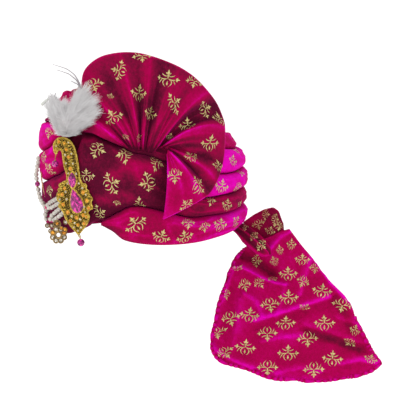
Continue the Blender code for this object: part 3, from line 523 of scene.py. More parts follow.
def seated(across, up, lift):
    """How far out the wound body is at these places as seen, with this much lift.

    Each level is an ellipse, so the distance out is the larger root of a quadratic;
    the level and the ellipse's size come from the last guess, a few times over.
    """
    across, up, lift = np.broadcast_arrays(across, up, lift)
    c, s = math.cos(SEEN_AZIMUTH), math.sin(SEEN_AZIMUTH)
    out = np.full(across.shape, 0.10)
    for _ in range(12):
        at = seen(across, up, out)
        turn = np.arctan2(at[..., 1] / HALF_LENGTH, at[..., 0] / HALF_WIDTH)
        heights = [CROWN_HEIGHT * around(row[:4], turn) for row in LEVELS[:5]]
        level = sum(np.clip((at[..., 2] - low) / (high - low), 0, 1)
                    for low, high in zip(heights, heights[1:]))
        size = np.interp(level, range(5), LEVELS[:5, 4])
        size -= 0.40 * np.clip(at[..., 2] - heights[4], 0, 1)
        a, b = size * HALF_WIDTH + lift, size * HALF_LENGTH + lift
        square = s * s / a**2 + c * c / b**2
        half = across * s * c * (1 / a**2 - 1 / b**2)
        rest = across**2 * (c * c / a**2 + s * s / b**2) - 1
        flat = (-half + np.sqrt(np.maximum(half**2 - square * rest, 0))) / square
        out = 0.5 * out + 0.5 * (flat + up * math.sin(SEEN_ELEVATION)) / math.cos(SEEN_ELEVATION)
    return out


def on_turns(x, y, lift, lowest=-1.0):
    """Points this far off the turns at these places, or as far out as at the lowest."""
    across, up = pictured(x, y)
    return seen(across, up, seated(across, np.maximum(up, lowest), lift))


# Where the upper turns lie further in: degrees round, half width in degrees, depth in
# metres, the levels over which it comes in and the levels over which it goes.
SLOPES = ((-122, 40, 0.0105, 3.0, 3.6, 5.3, 6.5), (58, 48, 0.0064, 3.5, 4.6, 5.3, 6.5),
          (-122, 34, 0.0065, 3.0, 3.8, 5.3, 6.5), (-90, 11, -0.0085, 4.4, 4.9, 5.3, 6.2))


def slope(degrees, level):
    """How far the upper turns lie in, in metres: a bell round the body for each slope."""
    total = 0.0
    for middle, half, depth, start, full, fading, gone in SLOPES:
        away = (np.asarray(degrees, float) - middle + 180) % 360 - 180
        rise = smooth((level - start) / (full - start))
        rise = rise * (1 - smooth((level - fading) / (gone - fading)))
        total = total - depth * np.exp(-((away / half) ** 2)) * rise
    return total


def wound_turn(name, degrees, low, high, bulge, nap, seed, closed=False, rolled=False,
               sink=0.0):
    """A turn of cloth between two seams.

    Across it, the lift is a flattened half round that dips well into each seam; long
    soft folds run along the turn, and finer ones lie at a slant. A rolled turn's start
    rolls in over its first degrees; sink moves the cloth in, in metres.
    """
    low, high = low + SEAM_GAP, high - SEAM_GAP
    width = (high - low)[:, None]
    part = 0.5 - 0.5 * np.cos(np.pi * np.linspace(0, 1, TURN_COLUMNS))
    level = low[:, None] + width * part
    bulge = 0.001 * bulge * np.clip(width[:, 0] / 0.6, 0.2, 1)
    shape = (1 - np.abs(2 * part - 1) ** 3.2) ** 0.5
    at, run = degrees[:, None], np.clip(width / 0.8, 0.3, 1)
    period = 24 if closed else None
    soft = ruffle(at / 15.0, part * 2.6 + seed, seed, period)
    slant = at / 15.0 + 1.1 * part
    crease = 1 - np.abs(ruffle(slant * (1 if closed else 1.3), part * 5.2 + seed, seed + 3,
                               period))
    folds = 0.0013 * soft * shape + 0.0010 * (crease**3 - 0.3) * shape
    if rolled:
        away = (degrees - degrees[0])[:, None] / 3.0
        shape = shape * np.sqrt(1 - (1 - np.clip(away, 0, 1)) ** 2)
    lift = -SEAM_DIP + (bulge[:, None] + SEAM_DIP + folds * run) * shape + slope(at, level)
    lift = lift - np.broadcast_to(sink, degrees.shape)[:, None]
    points = skin(at, level, lift)
    # Painted light: highlights on the crests of the folds, lighter towards the upper seam, and
    # painted shade down into each seam.
    crest = (crease**3 - 0.35) * 0.30 + 0.12 * soft
    shade = along(nap, degrees)[:, None] + crest * shape + 0.10 * (part - 0.5)
    shade = shade - 0.35 * (1 - shape) ** 1.5
    cloth(name, points, shade, wrap=closed)


def wound_turns():
    """The five coils and the side band, meeting at the shared seams."""
    whole = np.arange(-180, 180, TURN_STEP)
    seam_3 = along(SEAM_3, np.where(whole < -12, whole + 360, whole))
    four = np.full(whole.shape, 4.0)
    wound_turn("coil_1", whole, four, four + 1, along(BULGE_1, whole), TONE_AND_SHEEN_1, 1, closed=True)
    wound_turn("coil_2", whole, seam_3, four, along(BULGE_2, whole), TONE_AND_SHEEN_2, 2, closed=True)
    at = np.linspace(COILS_START, COIL_3_END, 240)
    wound_turn("coil_3", at, along(SEAM_2, at), along(SEAM_3, at), along(BULGE_3, at), TONE_AND_SHEEN_3, 5)
    at = np.linspace(COILS_START, COIL_4_END, 240)
    low = np.where(at > 232, along(BAND_TOP, at), along(BAND_BOTTOM, at))
    wound_turn("coil_4", at, low, along(SEAM_2, at), along(BULGE_4, at), TONE_AND_SHEEN_4, 9)
    # The first turn runs on under the start of the last one, the side band.
    at = np.linspace(COIL_5_START, COIL_5_END, 244)
    tuck = 0.0085 * smooth((at - 226) / 9)
    wound_turn("coil_5", at, along(COIL_5_BOTTOM, at), along(BAND_BOTTOM, at),
               along(BULGE_5, at), TONE_AND_SHEEN_5, 14, sink=tuck)
    at = np.linspace(BAND_START, BAND_END, 150)
    high = np.minimum(along(BAND_TOP, at), along(SEAM_3, at))
    wound_turn("side_band", at, along(BAND_BOTTOM, at - 360), high, along(BULGE_BAND, at),
               TONE_AND_SHEEN_BAND, 21, rolled=True)


def lowest_edge(degrees):
    """The level of the lowest cloth edge at this turn, where the base stops above it."""
    front = along(BAND_BOTTOM, np.minimum(degrees, -55))
    side = along(COIL_5_BOTTOM, np.maximum(degrees, -55))
    return np.where(degrees < -55, front, side)


def crown_base():
    """The hollow shell: a profile turned round, up its outside and down its inside."""
    at = np.arange(-180, 180, 3.0)
    low = lowest_edge(at) + 0.06
    back = -WRAP_THICKNESS - PIECE_GAP
    rings = [skin(at, np.maximum(low, k), back + slope(at, np.maximum(low, k)))
             for k in np.linspace(0, 7, 36)]
    rings[0] = skin(at, low, back)
    rim = rings[0][:, 2]
    inside = []
    for height in (None, 0.02, 0.04, HEAD_STRAIGHT, *np.linspace(0.07, 0.1215, 12), HEAD_DEPTH):
        z = rim if height is None else np.full(at.shape, height)
        rise = np.clip((z - HEAD_STRAIGHT) / (HEAD_DEPTH - HEAD_STRAIGHT), 0, 1)
        size = np.sqrt(1 - rise**2)
        turn = np.radians(at)
        inside.append(np.stack([size * HEAD_HALF_WIDTH * np.cos(turn),
                                size * HEAD_HALF_LENGTH * np.sin(turn), z], axis=-1))
    rings = np.array(rings[::-1] + inside)
    made = assemble("base_shell", [(rings.reshape(-1, 3),
                                    grid_faces(*rings.shape[:2], False, True))],
                    "velvet", ["crown_base"], nap=np.full(rings.shape[:2], 0.12))


def crown_cover():
    """Gathered cloth over the crown: radial pleats that deepen outwards and then tuck in."""
    at = np.arange(-180, 180, TURN_STEP)[:, None]
    level = (COVER_START + (COVER_TOP - COVER_START)
             * np.linspace(0, 1, COVER_COLUMNS)[None] ** 1.15)
    away = np.clip((level - COVER_START) / (COVER_TOP - COVER_START), 0, 1)
    lift = -0.0065 + 0.0100 * smooth(away / 0.16) - 0.0012 * smooth((away - 0.16) / 0.84)
    pleat = 1 - np.abs(ruffle(at / 7.5, away * 1.4, 31, 48))
    fine = ruffle(at / 3.75, away * 2.0, 33, 96)
    depth = smooth(away / 0.15) * (1 - away) ** 0.6
    lift = lift + slope(at, level)
    points = skin(at, level, lift + (0.0040 * (pleat**2 - 0.5) + 0.0009 * fine) * depth)
    # The pleats' crests get a painted highlight and their hollows painted shade.
    cloth("crown_cover", points, 0.40 + 0.62 * (pleat**2 - 0.45) * depth, wrap=True)


# The fan: one row for each fold or crease, going clockwise. x and y at the rim, middle
# and root, then how far it stands out at the rim and the middle, how far the root
# stands off the turns below, all three in millimetres, and the tone with painted light:
# bright on the crests, dark in the creases.
AT_RIM, AT_MIDDLE, AT_ROOT, FAN_TONE_AND_LIGHT = 6, 7, 8, 9
FAN_RAYS, FAN_RAY_POINTS = 353, 112
FAN_FOLDS = (
    (83.0, 128.0, 100.0, 137.0, 126.0, 148.5, 0.0, 0.0, -6.2, 0.12),
    (81.5, 112.0, 100.0, 126.0, 129.0, 149.1, 3.0, 7.0, -6.2, 0.54),
    (82.0, 101.0, 105.0, 121.0, 132.0, 149.5, 1.0, -1.0, -6.2, 0.16),
    (82.0, 86.0, 110.0, 113.0, 134.0, 150.0, 3.0, 8.5, -6.2, 0.36),
    (83.5, 70.5, 119.0, 110.0, 136.0, 150.6, 2.0, 3.5, -6.2, 0.24),
    (99.5, 57.0, 127.0, 110.0, 138.0, 151.0, 1.0, -1.0, -6.2, 0.12),
    (121.0, 53.0, 134.5, 110.0, 139.5, 151.0, 2.0, 7.5, -6.2, 0.32),
    (139.0, 53.6, 140.5, 110.0, 141.0, 151.0, 2.0, -1.0, -6.2, 0.08),
    (152.0, 57.0, 147.0, 108.0, 143.5, 151.5, 4.0, 7.5, -6.2, 0.28),
    (164.0, 61.0, 153.0, 110.0, 146.0, 152.0, 2.0, -1.0, -6.2, 0.06),
    (180.0, 67.5, 163.0, 112.0, 149.0, 152.5, 4.0, 8.0, -6.2, 0.28),
    (196.0, 78.0, 175.0, 108.0, 152.0, 153.0, 5.0, 6.0, -6.2, 0.16),
    (209.5, 93.0, 186.0, 112.0, 154.5, 152.5, 7.5, 11.0, -6.2, 0.50),
    (218.0, 104.5, 189.5, 115.0, 156.0, 151.5, -1.5, -2.0, -6.2, 0.0),
    (224.0, 120.0, 194.0, 124.5, 157.5, 150.5, -1.0, -1.0, -6.2, 0.10),
    (225.5, 126.5, 196.5, 128.0, 159.0, 149.5, 7.0, 11.0, -5.4, 0.54),
    (225.5, 147.0, 197.5, 141.0, 161.0, 148.5, 6.0, 9.0, -5.4, 0.22),
    (222.8, 166.5, 203.0, 156.5, 164.0, 147.5, 1.0, -2.0, -3.0, 0.10),
    (217.0, 183.0, 200.0, 165.0, 166.5, 147.5, 4.0, 5.0, -2.0, 0.46),
    (210.0, 193.8, 191.5, 169.5, 168.0, 149.0, 1.0, -2.0, 0.0, 0.04),
    (205.5, 198.0, 188.0, 171.0, 168.0, 150.5, 5.5, 9.5, 1.0, 0.68),
    (184.0, 210.0, 180.5, 182.0, 167.6, 151.8, 5.0, 6.5, 2.0, 0.44),
    (163.6, 219.5, 167.5, 187.0, 167.6, 153.0, 5.0, 8.0, 3.0, 0.62),
)


def side_fan():
    """The pleated fan: rays that each bend through root, middle and rim.

    Between a crease and a crest the stand goes as the sine of a quarter turn, so that
    crests are round and creases sharp. Finer pleats gather towards the knot.
    """
    folds = np.asarray(FAN_FOLDS, float)
    knots = np.arange(len(folds))
    at = np.linspace(0, len(folds) - 1, FAN_RAYS)
    below = np.minimum(at.astype(int), len(folds) - 2)
    part = at - below
    columns = read_off(at, knots, folds).T.copy()
    for index in (AT_RIM, AT_MIDDLE, FAN_TONE_AND_LIGHT):
        start, end = folds[below, index], folds[below + 1, index]
        rise = np.where(end > start, np.sin(part * np.pi / 2), 1 - np.cos(part * np.pi / 2))
        if index == FAN_TONE_AND_LIGHT:
            rise = np.where(end > start, part**2, 1 - (1 - part) ** 2)
        flat = np.abs(end - start) < (0.05 if index == FAN_TONE_AND_LIGHT else 2.5)
        columns[index] = start + (end - start) * np.where(flat, part, rise)
    # The rim runs round its corners in a curve.
    eased(columns[:2].T, 70)
    reach = np.linspace(0, 1, FAN_RAY_POINTS)[:, None]
    rim, middle, root = (np.stack(pictured(*columns[k:k + 2])) for k in (0, 2, 4))
    place = (root[:, None] * (1 - reach) * (1 - 2 * reach) + 4 * middle[:, None] * reach
             * (1 - reach) + rim[:, None] * reach * (2 * reach - 1))
    wave = np.sin(np.pi * reach**0.8) ** 0.8
    stand = 0.001 * (columns[AT_MIDDLE] * wave + columns[AT_RIM] * reach**3)
    off = smooth(reach / 0.32)
    lift = 0.001 * columns[AT_ROOT] * (1 - off) + FAN_STAND_OFF * off
    gather = (1 - reach) ** 1.1 * smooth(reach / 0.08)
    fine = 1 - np.abs(ruffle(at[None] * 1.9, reach * 1.5, 41))
    rumple = ruffle(at[None] * 0.8, reach * 4.0, 43)
    stand = stand + 0.0022 * (fine**2 - 0.45) * gather + 0.0007 * rumple * smooth(reach / 0.3)
    roll = -0.0022 * smooth((reach - 0.965) / 0.035) ** 2
    base = seated(place[0], place[1], lift)
    points = seen(place[0], place[1], base + stand + roll).transpose(1, 0, 2)
    # Painted light and shade: each fold's tone, light on the fine pleats' crests and dark in
    # their hollows, a painted highlight along the rim and painted shade near the knot.
    nap = columns[FAN_TONE_AND_LIGHT]
    shade = (nap + 0.55 * (fine**2 - 0.4) * gather + 0.12 * rumple
             + 0.42 * smooth((reach - 0.982) / 0.014) * smooth(0.3 + 0.7 * at[None] / 12)
             - 0.25 * (1 - smooth(reach / 0.12)))
    shade = shade + 0.10 * smooth((reach - 0.35) / 0.4) * (0.5 - nap)
    # A thin painted highlight runs down each high crest, and painted shade down each deep crease.
    for knot, row in enumerate(folds):
        painted_line = 0.12 * (int(row[FAN_TONE_AND_LIGHT] > 0.25) - int(row[FAN_TONE_AND_LIGHT] < 0.11))
        width = 0.10 + 0.06 * reach
        shade = shade + painted_line * np.exp(-(((at[None] - knot) / width) ** 2)) * (1 - reach**6)
    cloth("side_fan", points, shade.T, thickness=0.0016)


# Edges of the tail's free cloth, x and y.
SKIRT_TOP = ((244.0, 249.0), (252.0, 242.3), (262.0, 239.8), (272.0, 236.0), (281.0, 231.0),
             (289.5, 228.8))
SKIRT_RIGHT = ((289.5, 228.8), (301.5, 245.0), (313.6, 259.0), (320.7, 271.0), (332.0, 283.0),
               (345.5, 296.0), (353.0, 309.0), (357.0, 322.0), (363.0, 334.0), (370.4, 349.0),
               (376.6, 357.0), (381.6, 363.4))
SKIRT_LEFT = ((244.0, 249.0), (234.6, 260.0), (229.6, 272.0), (224.0, 289.0), (218.5, 305.0),
              (216.2, 318.0), (212.2, 335.5), (211.6, 347.5))
SKIRT_BOTTOM = ((211.6, 347.5), (215.5, 357.0), (224.0, 363.4), (240.0, 367.0), (253.0, 371.4),
                (266.0, 376.8), (277.0, 379.6), (293.0, 379.4), (308.5, 381.6), (326.0, 381.4),
                (344.0, 378.4), (359.0, 375.8), (372.0, 371.6), (381.6, 363.4))
# Ridges and hollows in the skirt: their height and half width in millimetres, the painted
# light they add, highlight on ridges and shade in hollows, then the x and y of their line.
SKIRT_FOLDS = (
    (7.5, 3.0, 0.36, ((229, 268), (241, 267), (251, 272), (262, 278), (275, 283), (286, 285))),
    (-10.0, 7.5, -0.36, ((242, 257), (252, 260), (262, 267), (270, 274))),
    (3.0, 4.0, 0.22, ((224, 300), (228, 285), (234, 268))),
    (4.5, 4.0, 0.34, ((268, 252), (280, 238), (290, 232))),
    (5.0, 4.2, 0.44, ((255, 321), (285, 312), (318, 301), (330, 297))),
    (-3.0, 7.0, -0.08, ((262, 328), (300, 315), (330, 306))),
    (3.5, 5.0, 0.28, ((301, 294), (305, 278), (311, 260))),
    (3.0, 4.5, 0.26, ((262, 342), (280, 338), (303, 336))),
    (3.0, 4.5, 0.26, ((338, 318), (350, 322), (361, 324))),
    (3.5, 4.5, 0.20, ((305, 325), (330, 332), (356, 342))),
    (-4.5, 7.0, -0.30, ((308, 333), (335, 341), (360, 351))),
    (4.0, 4.5, 0.36, ((211, 348), (230, 359), (252, 368))),
    (-3.0, 8.0, -0.12, ((230, 290), (227, 310), (223, 330))),
    (2.5, 5.0, 0.12, ((240, 300), (236, 330), (232, 350))),
    (-4.0, 9.0, -0.22, ((335, 300), (345, 315), (352, 330))),
    (3.5, 4.5, 0.30, ((318, 262), (330, 282), (346, 300))),
    (3.0, 5.0, 0.36, ((340, 364), (360, 360), (376, 363))),
    (2.5, 4.5, 0.22, ((276, 374), (300, 368), (322, 372))),
    (2.5, 4.0, 0.20, ((244, 294), (256, 302), (262, 316))),
    (2.5, 4.5, 0.18, ((284, 286), (282, 300), (276, 316))),
)
SKIRT_OUT = -0.016
EAR_LOW = ((243.5, 227.0), (252.0, 235.0), (262.0, 243.0), (273.0, 240.0), (284.0, 232.0))
EAR_HIGH = ((244.0, 221.5), (254.0, 214.5), (264.0, 209.3), (273.5, 207.0), (279.0, 211.0),
            (282.5, 221.0))
# The neck: x and y of its middle, out, half width and half thickness in millimetres.
NECK = ((234.0, 225.5, -38.0, 6.8, 3.4), (240.0, 229.0, -35.0, 8.0, 4.0),
        (247.0, 234.5, -24.0, 10.0, 4.4), (254.0, 241.0, -15.0, 11.0, 4.4),
        (260.0, 247.0, -13.0, 10.5, 3.6), (266.0, 252.5, -14.5, 7.5, 2.0),
        (269.0, 256.0, -17.0, 3.5, 0.8))


def edge_points(table, count):
    """As many points along this polyline, evenly by length and a little rounded."""
    table = np.asarray(table, float)
    length = run_along(table)
    return eased(read_off(np.linspace(0, length[-1], count), length, table), count // 12)


def beside(places, line):
    """Distance of each place from a polyline, and on which side of it, both in steps."""
    best = np.full(places.shape[:2], 1e9)
    side = np.zeros(places.shape[:2])
    line = np.asarray(line, float)
    for start, end in zip(line, line[1:]):
        run = end - start
        t = np.clip(((places - start) @ run) / (run @ run), 0, 1)
        gap = places - (start + t[..., None] * run)
        distance = np.linalg.norm(gap, axis=-1)
        nearer = distance < best
        side = np.where(nearer, np.sign(run[0] * gap[..., 1] - run[1] * gap[..., 0]), side)
        best = np.minimum(best, distance)
    return best, side


def tail_skirt():
    """The flared free end: a surface filled in from its four edges, with folds pressed in.

    Each fold is a bell of the distance from its line, steeper on its lower side.
    """
    rows, columns = 168, 176
    top, bottom = edge_points(SKIRT_TOP, columns), edge_points(SKIRT_BOTTOM, columns)
    left, right = edge_points(SKIRT_LEFT, rows), edge_points(SKIRT_RIGHT, rows)
    u, v = np.linspace(0, 1, columns)[None, :, None], np.linspace(0, 1, rows)[:, None, None]
    corners = (top[0] * (1 - u) * (1 - v) + top[-1] * u * (1 - v)
               + bottom[0] * (1 - u) * v + bottom[-1] * u * v)
    place = (top[None] * (1 - v) + bottom[None] * v + left[:, None] * (1 - u)
             + right[:, None] * u - corners)
    u, v = u[..., 0], v[..., 0]
    out = (SKIRT_OUT + 0.009 * v * (1 - v) - 0.006 * u
           + 0.004 * np.sin(2 * np.pi * (1.3 * u + 0.1)) * (0.3 + 0.7 * v))
    shade = 0.46 + 0.10 * ruffle(place[..., 0] / 26, place[..., 1] / 20, 55)
    for height, half, bright, line in SKIRT_FOLDS:
        distance, side = beside(place, line)
        wide = half / (1000 * STEP) * np.where(side > 0, 0.7, 1.35)
        bell = np.exp(-((distance / wide) ** 2))
        out = out + 0.001 * height * bell
        # A painted highlight along each ridge and painted shade along each hollow.
        shade = shade + bright * np.exp(-((distance / (0.8 * wide)) ** 2))
    out = out + 0.0009 * ruffle(place[..., 0] / 9, place[..., 1] / 7, 57)
    # The free edges lift and fall in small waves, with a painted highlight where they roll over.
    edge = np.minimum(np.minimum(u, 1 - u) * columns, (1 - v) * rows)
    wavy = np.exp(-edge / 9.0)
    out = out + 0.0018 * wavy * ruffle((place[..., 0] + place[..., 1]) / 6, u * 0, 59)
    shade = shade + 0.25 * np.exp(-edge / 3.5)
    points = seen(*pictured(place[..., 0], place[..., 1]), out)
    cloth("tail_skirt", points, shade)


def tail_ear():
    """The loop behind the neck: a profile up its front, over a rounded top and down."""
    columns = 60
    low, high = edge_points(EAR_LOW, columns), edge_points(EAR_HIGH, columns)
    t = np.linspace(0, 1, 56)[:, None]
    front = smooth(np.clip(t / 0.55, 0, 1))
    behind = smooth(np.clip((t - 0.62) / 0.38, 0, 1))
    rise = (front - 0.9 * behind)[..., None]
    place = low[None] * (1 - rise) + high[None] * rise
    across = np.linspace(0, 1, columns)[None]
    out = (-0.036 + 0.012 * smooth(across * 1.4) - 0.010 * smooth((t - 0.42) / 0.3)
           + 0.0028 * np.sin(2 * np.pi * across * 1.4 + 0.6) * front
           + 0.0012 * ruffle(across * 5, t * 4, 61))
    points = seen(*pictured(place[..., 0], place[..., 1]), out)[::-1]
    # A painted highlight runs along the rounded top; elsewhere the tone is dark and varies at
    # random.
    shade = 0.22 + 0.50 * np.exp(-((t[::-1] - 0.56) / 0.05) ** 2) + 0.1 * ruffle(
        across * 4, t * 3, 62)
    cloth("tail_ear", points, shade)


def tail_neck():
    """The gathered neck: an oval carried along its line, ridged by pleats lengthwise."""
    rows = np.column_stack([np.arange(len(NECK)), NECK])
    at = along(rows, np.linspace(0, len(NECK) - 1, 72))
    centre = seen(*pictured(at[:, 0], at[:, 1]), 0.001 * at[:, 2])
    path = unit(np.gradient(centre, axis=0))
    wide = unit(np.cross(OUT, path))
    thick = np.cross(path, wide)
    turn = turns(72)
    s = np.linspace(0, 1, 72)[:, None]
    pleat = 1 - np.abs(ruffle(turn[None] * 14 / (2 * np.pi) + 0.9 * s, s * 1.6, 65, 14))
    swell = 1 + 0.16 * (pleat**2 - 0.5)
    size = 0.001 * at[:, 3:5]
    size[0], size[-1] = size[0] * 0.999, 0.0
    points = (centre[:, None]
              + (size[:, 0, None] * swell * np.cos(turn))[..., None] * wide[:, None]
              + (size[:, 1, None] * swell * np.sin(turn))[..., None] * thick[:, None])
    points = np.concatenate([np.repeat(centre[:1], 72, axis=0)[None], points])
    # Painted highlights on the pleats' crests and painted shade in their hollows; the shut end
    # dark.
    shade = np.concatenate([np.zeros((1, 72)), 0.26 + 0.75 * (pleat**2 - 0.42)])
    made = assemble("neck_cloth", [(points.reshape(-1, 3),
                                    grid_faces(*points.shape[:2], False, True)[:, ::-1])],
                    "velvet", ["tail_neck"], nap=np.clip(shade, 0, 1))
    PRINTED["tail_neck"] = (made, points[:, ::-1], False)


def tube(path, radius, sides=8, reference=OUT, closed=False):
    """Points and faces of a round profile carried along a path, its ends drawn shut.

    The radius is one number, one for each point, or one for each point and side.
    """
    path = np.asarray(path, float)
    tangent = (np.roll(path, -1, axis=0) - np.roll(path, 1, axis=0) if closed
               else np.gradient(path, axis=0))
    tangent = unit(tangent)
    first = unit(np.cross(tangent, reference))
    second = np.cross(tangent, first)
    turn = turns(sides)
    radius = np.broadcast_to(np.asarray(radius, float).reshape(
        (-1, 1) if np.ndim(radius) == 1 else np.shape(radius)), (len(path), sides))
    rings = path[:, None] + radius[..., None] * (np.cos(turn)[:, None] * first[:, None]
                                                 + np.sin(turn)[:, None] * second[:, None])
    if not closed:
        ends = [np.repeat(path[[k]], sides, axis=0)[None] for k in (0, -1)]
        rings = np.concatenate([ends[0], rings, ends[1]])
    faces = grid_faces(len(rings), sides, closed, True)
    return rings.reshape(-1, 3), faces


def resampled(path, step, closed=False):
    """The same polyline with points this far apart, and the lengths along it."""
    path = np.asarray(path, float)
    if closed:
        path = np.vstack([path, path[:1]])
    length = run_along(path)
    count = max(3, int(round(length[-1] / step)) + (0 if closed else 1))
    at = np.linspace(0, length[-1], count, endpoint=not closed)
    return read_off(at, length, path), at


def rope(path, radius, lay, reference, sides=8, closed=False):
    """A two-ply twisted wire: the tube's radius swells twice a turn, turning as it goes."""
    path, at = resampled(path, lay / 6, closed)
    swell = 1 + 0.26 * np.cos(2 * (turns(sides)[None] - np.pi * at[:, None] / lay))
    return tube(path, radius * swell, sides, reference, closed)


def circle(centre, radius, count):
    """Points round a circle that faces the way the turban is seen from."""
    turn = turns(count)[:, None]
    return centre + radius * (np.cos(turn) * ACROSS + np.sin(turn) * UP)


def ball(centre, radius, sides=10, rings=6, squash=1.0, axes=None):
    """Points and faces of a globe, its poles shut; squash flattens it along its axis."""
    across, up, out = (ACROSS, UP, OUT) if axes is None else axes
    turn = turns(sides)[None, :, None]
    tilt = np.linspace(0, np.pi, rings + 1)[:, None, None]
    points = centre + radius * (np.sin(tilt) * (np.cos(turn) * across + np.sin(turn) * up)
                                + squash * np.cos(tilt) * out)
    return points.reshape(-1, 3), grid_faces(rings + 1, sides, False, True)


def hem(points):
    """The skirt's rolled edge, drawn in by its stitches into uneven lobes of about 8 mm."""
    edge = np.concatenate([points[:, 0], points[-1, 1:],
                           points[::-1, -1][1:points.shape[0] // 3]])
    path, at = resampled(edge, 0.0007)
    uneven = ruffle(at / 0.013, 0.0 * at, 77)
    lobe = np.abs(np.sin(np.pi * at / 0.0082 + 2.2 * uneven)) ** 0.7
    radius = 0.0016 + 0.0008 * lobe + 0.0006 * uneven
    # A painted highlight on each lobe, darker where the stitches draw it in.
    return assemble("tail_hem", [tube(path, radius, 8)], "velvet",
                    nap=np.repeat(np.concatenate([[0.5], 0.25 + 0.5 * lobe, [0.5]]), 8))


# The print: a buti of a spade in a wreath with three fleurs on curved stems. Each
# stroke is a curve through x, y of its start, bend and end, its width, all in
# millimetres, and whether its ends taper or its middle is a diamond. A stroke that
# starts off the middle line has a mirrored twin, but for the bar across the stem.
TAPERED, DIAMOND = 1, 2
BUTI = (
    (0.0, -8.4, 0.0, -5.2, 0.0, -2.2, 3.2, DIAMOND),
    (-2.6, -0.4, -9.4, -3.4, -2.4, -10.2, 1.3, TAPERED),
    (-0.4, 0.9, -5.0, -1.4, -10.4, 1.0, 1.3, TAPERED),
    (-9.8, 0.9, -12.8, 1.2, -15.8, 1.4, 4.4, DIAMOND),
    (-11.2, 1.1, -11.4, 3.2, -12.8, 4.1, 1.7, TAPERED),
    (-11.2, 1.0, -11.6, -0.9, -13.1, -1.7, 1.7, TAPERED),
    (-0.9, 3.9, -5.0, 3.6, -8.4, 6.8, 1.2, TAPERED),
    (0.0, 0.4, 0.0, 3.4, 0.0, 7.4, 1.9, TAPERED),
    (0.0, 6.3, 0.0, 9.4, 0.0, 13.0, 4.6, DIAMOND),
    (-0.5, 7.0, -2.4, 7.2, -3.2, 9.2, 1.8, TAPERED),
    (-2.0, 5.5, 0.0, 5.0, 2.0, 5.5, 1.2, TAPERED),
    (-7.2, -0.8, -9.6, -2.2, -10.6, -6.2, 1.3, TAPERED),
)
STROKE_POINTS = 7


def beside_line(run):
    """The unit direction to the left of each flat step."""
    run = unit(run)
    return np.stack([-run[:, 1], run[:, 0]], axis=-1)


def buti():
    """The motif flat, in metres: each stroke a ribbon along its curve."""
    points, faces = [], []
    t = np.linspace(0, 1, STROKE_POINTS)[:, None]
    k = np.arange(STROKE_POINTS - 1)
    ribbon = np.stack([k, k + STROKE_POINTS, k + STROKE_POINTS + 1, k + 1], axis=-1)
    for *places, width, kind in BUTI:
        for mirror in ((1, -1) if places[0] and places[2] else (1,)):
            start, bend, end = np.reshape(places, (3, 2)) * (mirror, 1)
            line = start * (1 - t) ** 2 + 2 * bend * t * (1 - t) + end * t**2
            side = beside_line(2 * (1 - t) * (bend - start) + 2 * t * (end - bend))
            half = (np.sin(np.pi * t) ** 0.6 if kind == TAPERED
                    else np.minimum(t / 0.34, (1 - t) / 0.66)) * width * 0.38 + 0.10
            faces.append(ribbon + 2 * STROKE_POINTS * len(points))
            points.append(np.concatenate([line + side * half, line - side * half]))
    return 0.001 * np.concatenate(points), np.concatenate(faces)


# Where the print shows: x, y, degrees clockwise, size and, where a fold narrows it, its
# width's factor. A motif goes on whichever cloth is foremost there.
TURBAN_PRINT = (
    (121.0, 72.0, -75, 0.86), (93.5, 86.0, 150, 0.82), (139.5, 94.8, 15, 0.96),
    (168.4, 80.3, 10, 0.94), (142.5, 57.0, 178, 0.77), (194.0, 81.5, 200, 0.77),
    (174.0, 104.5, 60, 0.86), (113.6, 117.7, -30, 0.82), (111.4, 97.2, 20, 0.30),
    (150.0, 115.0, 30, 0.82), (204.5, 109.0, 75, 0.86), (187.5, 126.5, 0, 0.86),
    (220.0, 120.5, 20, 0.82), (209.6, 144.0, 0, 0.98), (169.5, 137.0, 30, 0.43),
    (191.4, 157.5, -10, 0.82), (175.2, 175.5, 176, 0.86), (198.7, 184.8, 60, 0.86),
    (218.5, 166.5, 10, 0.69), (221.4, 187.0, 10, 0.86), (187.0, 205.5, -40, 0.69),
    (227.3, 205.5, 20, 0.77), (211.0, 199.0, 80, 0.69), (97.5, 149.5, 120, 1.0, 0.7),
    (126.0, 154.2, -100, 0.98, 0.66), (157.0, 161.0, 120, 0.92, 0.7),
    (111.4, 184.5, 65, 1.0),
    (148.0, 184.5, -100, 1.02, 0.86), (100.4, 213.5, 60, 0.73), (140.0, 205.0, 80, 0.69),
    (87.0, 176.5, 0, 0.77), (136.5, 224.5, -35, 1.02), (162.0, 237.0, 20, 0.82),
    (185.0, 238.0, -20, 0.77), (189.0, 222.5, 180, 0.65), (204.0, 226.5, 160, 0.60),
    (220.7, 224.0, 10, 0.86), (236.0, 222.0, 60, 0.77), (240.0, 172.5, 40, 0.69),
    (233.0, 161.5, 20, 0.69), (234.5, 150.0, -30, 0.69), (237.5, 187.4, 150, 0.69),
    (240.5, 208.0, 90, 0.60), (44.0, 157.0, 10, 0.77), (50.5, 170.5, 40, 0.77),
    (50.0, 190.0, 160, 0.69), (126.0, 137.0, 120, 0.43), (139.5, 139.0, 80, 0.43),
    (50.0, 133.0, 200, 0.69), (118.0, 203.5, 200, 0.34),
)
